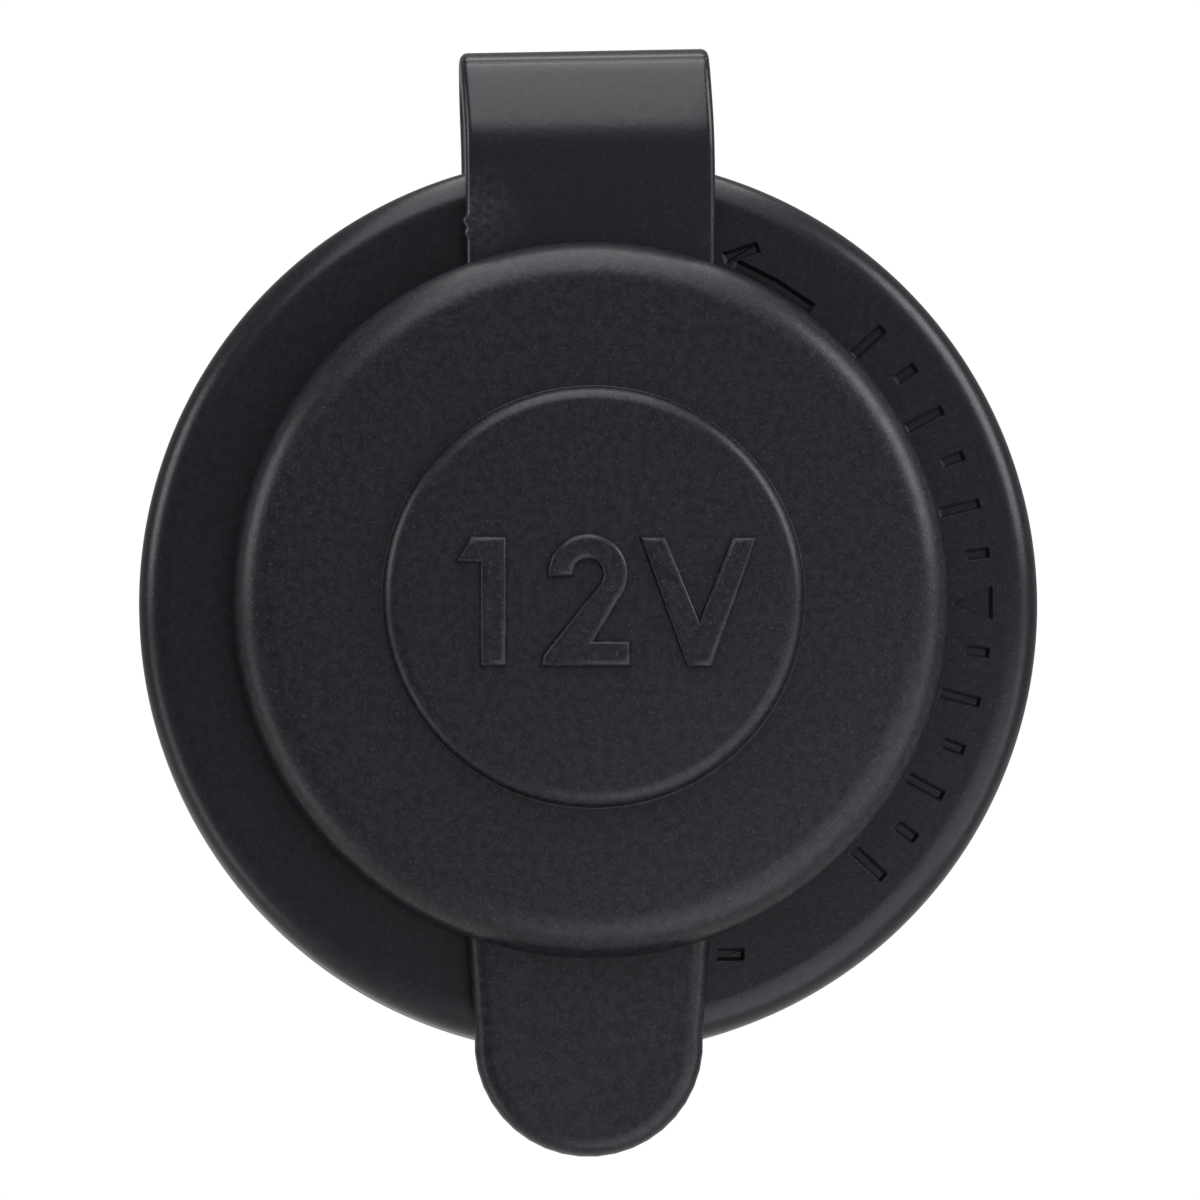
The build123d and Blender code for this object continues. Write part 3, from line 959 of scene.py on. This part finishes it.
    def build_strap(self, rubber: bpy.types.Material) -> None:
        """The whole strap as one strip.

        Where it runs into ring and lid it lies a little below their faces. The fold leans, as a strap
        that was bent by hand does, a shallow crease crosses it just past its crest, and its left edge
        has a burr.

        Args:
            rubber: the strap's finish.
        """
        path = self.strap_path()
        length = np.concatenate([[0], np.cumsum(np.linalg.norm(np.diff(path, axis=0), axis=1))])
        crest_at = length[np.argmax(path[:, 1])]
        over = np.clip((self.fold_y + self.fold_middle - path[:, 0]) / (2 * self.fold_middle), 0, 1)
        start, end = (self.ring_outer + blend for blend in self.ring_blend)
        in_ring = (1 - smooth_step(path[:, 1], start, end)) * (over < 0.5)
        start, end = self.lid_radius, self.lid_radius + self.lid_blend
        in_lid = (1 - smooth_step(path[:, 1], start, end)) * (over > 0.5)
        path[:, 0] -= self.lid_sink * in_lid
        crease = bell(length, crest_at + self.crease_past_crest, self.crease_width)
        thickness = self.sheet - self.ring_sink * in_ring - 2 * self.crease_depth * crease
        width = self.strap_width + self.strap_taper * (0.5 - over)
        x_shift = self.strap_shift + self.fold_sway * bell(length, crest_at, self.sway_reach)
        surface = swept_strip(path, width, thickness, self.strap_round, x_shift)
        points = surface.points.reshape(len(path), -1, 3)
        tilt = self.fold_tilt * points[..., 0] * bell(length, crest_at, self.tilt_reach)[:, None]
        points[..., 2] += tilt
        start, end = (share * self.strap_width for share in self.burr_edge)
        left_edge = smooth_step(-points[..., 0], start, end)
        on_front_run = (over > 0.99)[:, None]
        burr = sum(share * bell(points[..., 2], z, reach) for z, reach, share in self.burr_swellings)
        points[..., 0] -= self.burr_reach * burr * (left_edge * on_front_run)
        strap = make_piece("folded_strap", Surface(points.reshape(-1, 3), surface.blocks))
        dress(strap, rubber, "cap_strap")
        start = Vector((0, self.fold_y + self.fold_inner, self.fold_z)) * MM
        end = Vector((0, self.fold_y - self.fold_inner, self.fold_z)) * MM
        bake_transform(strap)

    def build_ring(self, rubber: bpy.types.Material) -> None:
        """The ring that is trapped behind the flange.

        Args:
            rubber: the cap's finish.
        """
        profile = rounded(
            [
                (self.ring_lip, -self.sheet, self.ring_round),
                (self.ring_outer, -self.sheet, self.ring_round),
                (self.ring_outer, 0, self.ring_rear_round),
                (self.ring_face, 0, self.ring_round),
                (self.ring_face, -self.ring_lip_step, 0),
                (self.ring_lip, -self.ring_lip_step, self.ring_lip_round),
            ]
        )
        ring = make_piece("trapped_ring", turned(profile))
        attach(ring, Body.SOCKET.value)
        dress(ring, rubber, "cap_ring")

    def build(self) -> None:
        """Builds all three pieces of the cap."""
        cap_rubber = CAP_RUBBER.material()
        self.build_lid(cap_rubber)
        self.build_strap(STRAP_RUBBER.material())
        self.build_ring(cap_rubber)


@dataclass
class Thread:
    """The coarse moulded thread that barrel and nut share."""

    pitch: float = 2.5
    crest: float = 14.0
    root: float = 13.2
    start_y: float = 3.2
    crest_half: float = 0.32
    crest_break: float = 0.05
    shoulder_step: float = 0.07
    bevel: float = 0.12
    root_half: float = 0.72
    foot_sink: float = 0.3
    play: float = 0.2
    tip_bevel: float = 0.1
    # Half widths of the nut's ridge at its foot, bevel and tip
    inside_halves: tuple[float, float, float] = (0.72, 0.34, 0.24)
    run_out_sink: float = 1.0

    @staticmethod
    def mirrored(half: Sequence[tuple[float, float]]) -> Array:
        """A ridge's whole section from the half of it at positive offsets."""
        return np.concatenate([np.array(half) * [1, -1], np.array(half)[::-1]])

    def outside_section(self) -> Array:
        """Ridge on the barrel: a trapezium with broken crest edges and its foot in the wall.

        Returns:
            Loop of (radius, y offset).
        """
        shoulder = self.crest_half + self.shoulder_step
        splay = (self.root_half - shoulder) / (self.crest - self.bevel - self.root)
        foot = (self.root - self.foot_sink, self.root_half + splay * self.foot_sink)
        crest = (self.crest, self.crest_half - self.crest_break)
        return self.mirrored([foot, (self.crest - self.bevel, shoulder), crest])

    def inside_section(self, bore: float) -> Array:
        """Ridge in the nut, which runs in the barrel's groove with play.

        Args:
            bore: the nut's radius at the ridge's foot.
        Returns:
            Loop of (radius, y offset).
        """
        tip = self.root + self.play
        radii = (bore + self.foot_sink, tip + self.tip_bevel, tip)
        return self.mirrored(list(zip(radii, self.inside_halves)))


@dataclass
class Barrel:
    """Flange, neck, threaded barrel and base wall of the socket, moulded in one."""

    thread: Thread
    thread_to_end: float = 2.2
    flange_round: float = 1.6
    rim_wall: float = 1.7
    rim_rear: float = -0.2
    rim_round: float = 0.35
    seat_depth: float = 1.6
    seat_round: float = 0.1
    groove: float = 13.9
    neck: float = 14.25
    neck_end: float = 2.0
    barrel_end: float = 43.0
    barrel_round: float = 0.2
    end_radius: float = 12.8
    end_taper: float = 0.6
    base_wall: float = 2.5
    rivet_hole: float = 1.6
    sleeve_hole: float = 11.25
    mouth: float = 11.9
    mouth_round: float = 0.5
    mouth_floor: float = -0.8
    lock_outer: float = 13.1
    lock_lip_rear: float = -3.4
    lock_channel_rear: float = -1.4
    lock_lug: float = 20.0
    lock_turn: float = 50.0
    keyway_half: float = 1.5
    keyway_floor: float = 13.1
    notch_half: float = 6.55
    notch_low: float = 18.5
    notch_high: float = 24.0
    notch_past: float = 0.1
    barrier_half: float = 7.0
    barrier_low: float = -5.4
    barrier_high: float = -4.2
    barrier_round: float = 0.25
    index_depth: float = 0.2
    # Insets of the engraving's wall above the flange's face, at it and at the floor
    index_insets: tuple[float, float, float] = (-0.19, -0.04, 0.15)
    index_outer: float = 20.1
    index_inner: float = 18.0
    index_short: float = 0.9
    index_stroke: float = 0.6
    index_round: float = 0.15
    index_steps: int = 6
    index_spacing: float = 7.2
    pointer_half: float = 0.95
    sign_angle: float = 68.0
    sign_round: float = 0.1

    def __post_init__(self) -> None:
        """Reads the flange's size and the barrier's height from the frame."""
        low, high = node_box("socket_body")
        self.flange_radius = high[0]
        self.flange_front = low[1]
        self.barrier_end = high[1]
        self.base_front = self.barrel_end - self.base_wall

    def profile(self) -> Array:
        """Half section of the turned moulding.

        Returns:
            Loop of (radius, y).
        """
        seat = self.flange_radius - self.rim_wall
        root = self.thread.root
        return rounded(
            [
                (self.mouth, self.flange_front, self.mouth_round),
                (self.flange_radius, self.flange_front, self.flange_round),
                (self.flange_radius, self.rim_rear, self.rim_round),
                (seat, self.rim_rear, self.seat_round),
                (seat, -self.seat_depth, self.seat_round),
                (self.groove, -self.seat_depth, 0),
                (self.groove, 0, 0),
                (self.neck, 0, self.seat_round),
                (self.neck, self.neck_end, self.barrel_round),
                (root, self.neck_end, self.barrel_round),
                (root, self.barrel_end - self.end_taper, self.barrel_round),
                (self.end_radius, self.barrel_end, self.barrel_round),
                (self.rivet_hole, self.barrel_end, 0),
                (self.rivet_hole, self.base_front, 0),
                (self.sleeve_hole, self.base_front, 0),
                (self.sleeve_hole, self.mouth_floor, 0),
                (self.mouth, self.mouth_floor, 0),
            ]
        )

    def index_outlines(self) -> list[Array]:
        """Outlines of the engraved lock index: strokes, a pointer at the lock point, an arrow, an end bar.

        Returns:
            One outline of points (x, z) per mark.
        """
        half, outer, edge = self.index_stroke / 2, self.index_outer, self.index_round
        outlines = []
        for step in range(-self.index_steps, self.index_steps + 1):
            inner = self.index_inner + (step % 2) * self.index_short
            stroke = [(inner, -half, edge), (outer, -half, edge), (outer, half, edge), (inner, half, edge)]
            if step == 0:
                wide = self.pointer_half
                stroke = [(inner, 0, self.sign_round), (outer, -wide, edge), (outer, wide, edge)]
            outlines.append(rotated(rounded(stroke), self.index_spacing * step))
        outlines.append(ring_sector(18.15, 18.7, 53, 67))
        barb = [(18.22, 0.05), (18.68, 0.45), (19.88, -0.95), (19.42, -1.35)]
        end_bar = [(18.36, -0.66), (18.92, -0.88), (19.44, 0.42), (18.88, 0.64)]
        for corners, angle in ((barb, self.sign_angle), (end_bar, -self.sign_angle)):
            sign = rounded([(u, v, self.sign_round) for u, v in corners])
            outlines.append(rotated(sign, angle))
        return outlines

    def cutters(self) -> list[Surface]:
        """Everything that is cut from the turned moulding.

        Returns:
            The strap's notch, the twist-lock slots, the keyways and the index, as closed surfaces.
        """
        front = self.flange_front
        notch = rectangle(-self.notch_half, self.notch_half, self.notch_low, self.notch_high)
        shapes = [prism(notch, -self.seat_depth, self.notch_past)]
        inner = self.mouth - self.mouth_round
        for lock_point in (0, 180):
            first = lock_point - self.lock_lug / 2
            last = lock_point + self.lock_lug / 2 + self.lock_turn
            channel = ring_sector(inner, self.lock_outer, first, last)
            entry = ring_sector(inner, self.lock_outer, first + self.lock_turn, last)
            shapes.append(prism(channel, self.lock_lip_rear, self.lock_channel_rear))
            shapes.append(prism(entry, front - PAST, self.lock_lip_rear))
        for side in (-1, 1):
            low, high = sorted((side * self.keyway_floor, side * (self.neck + PAST)))
            keyway = rectangle(low, high, -self.keyway_half, self.keyway_half)
            shapes.append(prism(keyway, self.neck_end, self.barrel_end + PAST))
        depths = (front - self.index_depth, front, front + self.index_depth)
        wall = np.stack([self.index_insets, depths], axis=1)
        shapes += [plate(outline, wall) for outline in self.index_outlines()]
        return shapes

    def build(self) -> None:
        """Builds the moulding: turned body and thread, then its cut-outs, then the terminals' barrier."""
        body = make_piece("barrel_moulding", turned(self.profile()))
        thread = self.thread
        turns = (self.barrel_end - self.thread_to_end - thread.start_y) / thread.pitch
        section = thread.outside_section()
        ridge = helical_ridge(section, thread.start_y, turns, thread.pitch, thread.run_out_sink)
        combine(body, ridge, Combine.ADD)
        for cutter in self.cutters():
            combine(body, cutter, Combine.CUT)
        barrier = rectangle(-self.barrier_half, self.barrier_half, self.barrier_low, self.barrier_high)
        angle = quarter_turn(5)
        rear_edge = self.barrier_round * np.stack([1 - np.cos(angle), np.sin(angle) - 1], axis=1)
        section = np.concatenate([[[0, self.barrel_end - PAST]], rear_edge + [0, self.barrier_end]])
        combine(body, plate(barrier, section), Combine.ADD)
        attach(body, Body.SOCKET.value)
        dress(body, BODY_PLASTIC.material(), "socket_body")


@dataclass
class PanelClamp:
    """The keyed washer and ring nut behind the panel."""

    thread: Thread
    washer_radius: float = 19.2
    washer_hole: float = 14.45
    washer_front_round: float = 0.3
    washer_round: float = 0.2
    washer_burr_round: float = 0.15
    tongue_half: float = 1.3
    tongue_reach: float = 13.4
    tongue_inset: float = 0.02
    nut_bore: float = 14.25
    nut_flange: float = 19.2
    nut_flange_thickness: float = 2.0
    nut_round: float = 0.5
    nut_front_round: float = 0.3
    nut_thread_from: float = 1.0
    nut_thread_turns: float = 1.7
    grip_radius: float = 17.6
    grip_root_round: float = 0.25
    grip_end_round: float = 0.6
    rib_count: int = 12
    rib_segments: int = 60
    rib_radius: float = 1.5
    rib_circle: float = 17.2
    # How far inside the grip's radius a rib starts to swell, and where it is full
    rib_fade: tuple[float, float] = (0.7, 0.05)
    rib_clear: float = 0.2

    def build_washer(self) -> None:
        """Flat ring with rolled edges and two tongues for the keyways."""
        front, rear = node_depths("clamp_washer")
        profile = rounded(
            [
                (self.washer_hole, front, self.washer_round),
                (self.washer_radius, front, self.washer_front_round),
                (self.washer_radius, rear, self.washer_round),
                (self.washer_hole, rear, self.washer_burr_round),
            ]
        )
        washer = make_piece("keyed_washer", turned(profile))
        for side in (-1, 1):
            left, right = sorted((side * self.tongue_reach, side * (self.washer_hole + PAST)))
            tongue = rectangle(left, right, -self.tongue_half, self.tongue_half)
            combine(washer, prism(tongue, front + self.tongue_inset, rear - self.tongue_inset), Combine.ADD)
        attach(washer, Body.WASHER.value)
        dress(washer, WASHER_ZINC.material(), "clamp_washer")

    def nut_surface(self, front: float, rear: float) -> Surface:
        """Turned nut whose grip swells into round ribs.

        At an angle d from a rib's middle the rib's outside is c cos d + sqrt(p^2 - c^2 sin^2 d), where c is
        the circle of the rib centres and p a rib's radius; between ribs the grip stays round.

        Args:
            front: depth of the clamping face.
            rear: depth of the far face.
        Returns:
            The closed surface.
        """
        flange_rear = front + self.nut_flange_thickness
        profile = rounded(
            [
                (self.nut_bore, front, self.nut_front_round),
                (self.nut_flange, front, self.nut_front_round),
                (self.nut_flange, flange_rear, self.nut_round),
                (self.grip_radius, flange_rear, self.grip_root_round),
                (self.grip_radius, rear, self.grip_end_round),
                (self.nut_bore, rear, self.nut_round),
            ]
        )
        segments = self.rib_segments * self.rib_count
        surface = turned(profile, segments=segments)
        points = surface.points.reshape(segments, len(profile), 3)
        angle = np.linspace(0, 2 * math.pi, segments, endpoint=False)
        spacing = 2 * math.pi / self.rib_count
        from_rib = (angle + spacing / 2) % spacing - spacing / 2
        across = self.rib_circle * np.sin(from_rib)
        inside = np.clip(self.rib_radius**2 - across**2, 0, None)
        rib = np.where(inside > 0, self.rib_circle * np.cos(from_rib) + np.sqrt(inside), self.grip_radius)
        swell = np.maximum(rib - self.grip_radius, 0)
        radius, y = profile[:, 0], profile[:, 1]
        fade_start, fade_end = (self.grip_radius - fade for fade in self.rib_fade)
        on_grip = smooth_step(radius, fade_start, fade_end) * (y > flange_rear + self.rib_clear)
        slack = 0.01
        grow = swell[:, None] * on_grip[None] * (radius <= self.grip_radius + slack)[None]
        points[..., [0, 2]] *= (1 + grow / radius[None])[..., None]
        return Surface(points.reshape(-1, 3), surface.blocks)

    def build_nut(self) -> None:
        """Ribbed ring nut with its own thread, in mesh with the barrel's."""
        front, rear = node_depths("lock_nut")
        nut = make_piece("ring_nut", self.nut_surface(front, rear))
        pitch = self.thread.pitch
        groove_y = self.thread.start_y + pitch / 2
        start_y = groove_y + pitch * math.ceil((front + self.nut_thread_from - groove_y) / pitch)
        section = self.thread.inside_section(self.nut_bore)
        ridge = helical_ridge(section, start_y, self.nut_thread_turns, pitch, -self.thread.run_out_sink)
        combine(nut, ridge, Combine.ADD)
        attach(nut, Body.NUT.value)
        dress(nut, NUT_PLASTIC.material(), "lock_nut")

    def build(self) -> None:
        """Builds washer and nut."""
        self.build_washer()
        self.build_nut()


@dataclass(frozen=True)
class Rivet:
    """A rivet with a domed head and a tail rolled to the same shape."""

    shank: float
    head: float
    height: float
    dome_share: float = 0.8

    def corners(self, grip_start: float, grip_end: float) -> list[Corner]:
        """Half section from the head's pole to the tail's.

        Args:
            grip_start: depth of the head's seat.
            grip_end: depth of the tail's seat.
        Returns:
            Corners (radius, y, rounding).
        """
        dome = self.dome_share * self.height
        return [
            (0, grip_start - self.height, 0),
            (self.head, grip_start - self.height, dome),
            (self.head, grip_start, 0),
            (self.shank, grip_start, 0),
            (self.shank, grip_end, 0),
            (self.head, grip_end, 0),
            (self.head, grip_end + self.height, dome),
            (0, grip_end + self.height, 0),
        ]


@dataclass
class Contacts:
    """Sleeve, centre contact, rivets and terminals."""

    barrel: Barrel
    bore: float = 10.5
    sleeve_wall: float = 0.7
    sleeve_round: float = 0.3
    sleeve_floor_round: float = 0.4
    step_start: float = 36.0
    step_end: float = 36.8
    step_radius: float = 10.0
    base_hole: float = 6.0
    base_hole_round: float = 0.15
    insulator_radius: float = 7.2
    insulator_hub: float = 5.9
    insulator_round: float = 0.3
    contact_radius: float = 4.6
    contact_sheet: float = 0.8
    contact_rim_round: float = 0.35
    contact_floor_round: float = 0.3
    center_rivet: Rivet = Rivet(1.5, 2.6, 0.9)
    small_rivet: Rivet = Rivet(0.9, 1.3, 0.8)
    rivet_circle: float = 8.6
    blade_width: float = 6.3
    blade_sheet: float = 0.8
    blade_bend: float = 1.0
    blade_round: float = 0.1
    blade_eye: float = 0.9
    blade_eye_from_end: float = 3.2
    blade_tip: float = 1.1

    def __post_init__(self) -> None:
        """Finds the faces that the contacts are riveted to."""
        self.sleeve_floor = self.barrel.base_front - self.sleeve_wall
        self.foot_rear = self.barrel.barrel_end + self.blade_sheet

    def turned_piece(
        self,
        name: str,
        corners: Sequence[Corner],
        material: bpy.types.Material,
        closed: bool = True,
    ) -> None:
        """A turned piece of the socket body that stands for the CAD node named after it.

        Args:
            name: the node's name.
            corners: its half section.
            material: its finish.
            closed: whether the section is a loop.
        """
        piece = make_piece(f"{name}_part", turned(rounded(corners, closed), closed, segments=160))
        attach(piece, Body.SOCKET.value)
        dress(piece, material, name)

    def build_sleeve(self, nickel: bpy.types.Material) -> None:
        """Drawn cup with a rounded lip and a stepped-in floor.

        Args:
            nickel: its finish.
        """
        lip, seat, edge = self.barrel.mouth_floor, self.barrel.base_front, self.sleeve_round
        outer, step_outer = self.bore + self.sleeve_wall, self.step_radius + self.sleeve_wall
        corners = [
            (self.bore, lip, edge),
            (outer, lip, edge),
            (outer, self.step_start, edge),
            (step_outer, self.step_end, edge),
            (step_outer, seat, self.sleeve_wall),
            (self.base_hole, seat, 0),
            (self.base_hole, self.sleeve_floor, self.base_hole_round),
            (self.step_radius, self.sleeve_floor, self.sleeve_floor_round),
            (self.step_radius, self.step_end, edge),
            (self.bore, self.step_start, edge),
        ]
        self.turned_piece("contact_sleeve", corners, nickel)

    def build_center(self, nylon: bpy.types.Material, brass: bpy.types.Material) -> None:
        """Insulating bush, dished contact and the rivet through them.

        Args:
            nylon: the bush's finish.
            brass: the finish of contact and rivet.
        """
        hole = self.barrel.rivet_hole
        front, rear = node_depths("contact_insulator")
        corners = [
            (hole, front, 0),
            (self.insulator_radius, front, self.insulator_round),
            (self.insulator_radius, self.sleeve_floor, 0),
            (self.insulator_hub, self.sleeve_floor, 0),
            (self.insulator_hub, rear, 0),
            (hole, rear, 0),
        ]
        self.turned_piece("contact_insulator", corners, nylon)
        rim, back = node_depths("center_contact")
        inner, floor = self.contact_radius - self.contact_sheet, back - self.contact_sheet
        corners = [
            (hole, back, 0),
            (self.contact_radius, back, self.contact_sheet),
            (self.contact_radius, rim, self.contact_rim_round),
            (inner, rim, self.contact_rim_round),
            (inner, floor, self.contact_floor_round),
            (hole, floor, 0),
        ]
        self.turned_piece("center_contact", corners, brass)
        corners = self.center_rivet.corners(floor, self.foot_rear)
        self.turned_piece("center_rivet", corners, brass, closed=False)

    def build_small_rivets(self, nickel: bpy.types.Material) -> None:
        """The rivet of the negative terminal and the two that hold the sleeve's floor.

        Args:
            nickel: their finish.
        """
        for node, angles, grip_end in (
            ("negative_rivet", (-90,), self.foot_rear),
            ("sleeve_rivets", (30, 150), self.barrel.barrel_end),
        ):
            corners = self.small_rivet.corners(self.sleeve_floor, grip_end)
            rivet = turned(rounded(corners, closed=False), closed=False, segments=48)
            points, blocks = [], []
            for angle in np.radians(angles):
                offset = (self.rivet_circle * math.cos(angle), 0, self.rivet_circle * math.sin(angle))
                blocks += [block + len(rivet.points) * len(points) for block in rivet.blocks]
                points.append(rivet.moved(offset).points)
            piece = make_piece(f"{node}_part", Surface(np.concatenate(points), blocks))
            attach(piece, Body.SOCKET.value)
            dress(piece, nickel, node)

    def build_terminal(self, node: str, blade_outwards: int, brass: bpy.types.Material) -> None:
        """A spade terminal bent from strip: foot on the base wall, blade back, with eye and pointed tip.

        Args:
            node: the CAD node.
            blade_outwards: 1 if the blade is at the top of the foot, -1 if at its bottom.
            brass: its finish.
        """
        low, high = node_box(node)
        half = self.blade_sheet / 2
        foot_z, blade_z = (low[2], high[2] - half) if blade_outwards > 0 else (high[2], low[2] + half)
        foot_y, end_y = low[1] + half, high[1]
        bends = [(foot_y, foot_z, 0), (foot_y, blade_z, self.blade_bend), (end_y, blade_z, 0)]
        route = rounded(bends, closed=False)
        tip_points, tip_end = 6, 0.02
        tip_y = np.linspace(end_y - self.blade_tip, end_y - tip_end, tip_points)
        tip = np.stack([tip_y, np.full(tip_points, blade_z)], axis=1)
        route = np.concatenate([route[:-1], tip, route[-1:]])
        on_blade = np.abs(route[:, 1] - blade_z) < MERGE
        pointed = np.where(on_blade, np.clip(self.blade_tip - (end_y - route[:, 0]), 0, None), 0)
        still = np.zeros(len(route))
        width, thickness = self.blade_width - 2 * pointed, still + self.blade_sheet
        strip = swept_strip(route, width, thickness, self.blade_round, still, across=4)
        terminal = make_piece(f"{node}_part", strip)
        drill, reach = self.blade_eye, 2.0
        bore = np.array([[0, -reach], [drill, -reach], [drill, reach], [0, reach]])
        eye = turned(bore, closed=False, segments=40)
        upright = eye.points[:, [0, 2, 1]] + [0, end_y - self.blade_eye_from_end, blade_z]
        combine(terminal, Surface(upright, eye.blocks), Combine.CUT)
        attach(terminal, Body.SOCKET.value)
        dress(terminal, brass, node)

    def build(self) -> None:
        """Builds every contact piece."""
        nickel, brass = NICKEL_PLATE.material(), CONTACT_BRASS.material()
        self.build_sleeve(nickel)
        self.build_center(INSULATOR_NYLON.material(), brass)
        self.build_small_rivets(nickel)
        self.build_terminal("positive_terminal", 1, brass)
        self.build_terminal("negative_terminal", -1, brass)


@dataclass(frozen=True)
class SoftLight:
    """A white softbox aimed at the object; its place is in metres from the aim point."""

    name: str
    place: tuple[float, float, float]
    width: float
    height: float
    watts: float

    def build(self, aim: Vector) -> None:
        """Puts the light into the scene.

        Args:
            aim: the point it faces.
        """
        data = bpy.data.lights.new(self.name, "AREA")
        data.shape = "RECTANGLE"
        data.size, data.size_y = self.width, self.height
        data.energy = self.watts
        light = bpy.data.objects.new(self.name, data)
        light.location = aim + Vector(self.place)
        light.rotation_euler = (-Vector(self.place)).to_track_quat("-Z", "Y").to_euler()
        light.visible_camera = False
        bpy.context.scene.collection.objects.link(light)


SOFT_LIGHTS = (
    SoftLight("top softbox", (-0.015, -0.11, 0.42), 0.36, 0.8, 6.4),
    SoftLight("right softbox", (0.38, -0.13, 0.235), 0.22, 0.32, 2.85),
    SoftLight("right reflector", (0.41, -0.15, -0.12), 0.22, 0.26, 0.72),
    SoftLight("left softbox", (-0.43, -0.06, 0.15), 0.18, 0.22, 1.15),
    SoftLight("left reflector", (-0.43, -0.05, -0.18), 0.16, 0.36, 0.66),
    SoftLight("low front light", (0.09, -0.17, -0.125), 0.22, 0.26, 0.66),
)


@dataclass
class Studio:
    """Pale floor, white backdrop, softboxes and the camera; lengths in millimetres, angles in degrees."""

    view_width: float = 60.0
    distance: float = 520.0
    elevation: float = -3.6
    azimuth: float = -2.4
    aim_x: float = 0.53
    aim_y: float = -4.0
    aim_z: float = 0.15
    floor_drop: float = 500.0
    floor_size: float = 6000.0
    floor_glow: float = 0.36
    backdrop_strength: float = 1.02
    ambient_front: float = 0.54
    ambient_back: float = 0.42

    def build_camera(self) -> None:
        """A long lens on the photograph's line of sight, a little below the socket's axis."""
        aim = Vector((self.aim_x, self.aim_y, self.aim_z)) * MM
        turn, lift = math.radians(self.azimuth), math.radians(self.elevation)
        back = Vector((math.sin(turn) * math.cos(lift), -math.cos(turn) * math.cos(lift), math.sin(lift)))
        data = bpy.data.cameras.new("camera")
        data.sensor_width = 36.0
        data.lens = data.sensor_width * self.distance / self.view_width
        data.clip_start, data.clip_end = 0.01, 50.0
        camera = bpy.data.objects.new("camera", data)
        camera.location = aim + back * self.distance * MM
        camera.rotation_euler = (-back).to_track_quat("-Z", "Y").to_euler()
        bpy.context.scene.collection.objects.link(camera)
        bpy.context.scene.camera = camera

    def build_floor(self) -> None:
        """A wide pale floor below the part, lit through from below as a light table is."""
        half = self.floor_size / 2
        low, _ = node_box("cap_lid")
        z = low[2] - self.floor_drop
        mesh = bpy.data.meshes.new("floor")
        corners = np.array([[-half, -half, z], [half, -half, z], [half, half, z], [-half, half, z]]) * MM
        mesh.from_pydata(corners.tolist(), [], [(0, 1, 2, 3)])
        material = new_material("pale floor")
        tree = material.node_tree
        shader = add_node(
            tree,
            "ShaderNodeBsdfPrincipled",
            {
                "Base Color": to_linear("#f7f7f6"),
                "Roughness": 0.9,
                "Specular IOR Level": 0.1,
                "Emission Color": to_linear("#ffffff"),
                "Emission Strength": self.floor_glow,
            },
        )
        add_node(tree, "ShaderNodeOutputMaterial", {"Surface": shader.outputs["BSDF"]})
        mesh.materials.append(material)
        floor = bpy.data.objects.new("floor", mesh)
        bpy.context.scene.collection.objects.link(floor)

    def build_world(self) -> None:
        """A white backdrop, which lights the object less than it shines itself, and least from behind."""
        world = bpy.data.worlds.new("white surroundings")
        world.use_nodes = True
        tree = world.node_tree
        tree.nodes.clear()
        seen = add_node(tree, "ShaderNodeLightPath").outputs["Is Camera Ray"]
        direction = add_node(tree, "ShaderNodeTexCoord").outputs["Generated"]
        backwards = add_node(tree, "ShaderNodeSeparateXYZ", {"Vector": direction}).outputs["Y"]
        fall = {"Value": backwards, "From Min": -0.2, "From Max": 0.6}
        fall |= {"To Min": self.ambient_front, "To Max": self.ambient_back}
        ambient = add_node(tree, "ShaderNodeMapRange", fall).outputs["Result"]
        levels = {"Value": seen, "To Min": ambient, "To Max": self.backdrop_strength}
        strength = add_node(tree, "ShaderNodeMapRange", levels).outputs["Result"]
        white = to_linear("#ffffff")
        light = add_node(tree, "ShaderNodeBackground", {"Color": white, "Strength": strength})
        add_node(tree, "ShaderNodeOutputWorld", {"Surface": light.outputs["Background"]})
        bpy.context.scene.world = world
        bpy.context.scene.view_settings.view_transform = "Standard"

    def build(self) -> None:
        """Builds the studio."""
        self.build_camera()
        self.build_floor()
        self.build_world()
        aim = Vector((0, self.aim_y, 0)) * MM
        for light in SOFT_LIGHTS:
            light.build(aim)


def main() -> None:
    """Loads the frame, builds each sub-assembly around it and sets up the studio."""
    logging.basicConfig(level=logging.INFO, format="%(message)s")
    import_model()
    thread = Thread()
    barrel = Barrel(thread)
    for assembly in (Cap(), barrel, PanelClamp(thread), Contacts(barrel)):
        assembly.build()
    Studio().build()


if __name__ == "__main__":
    main()
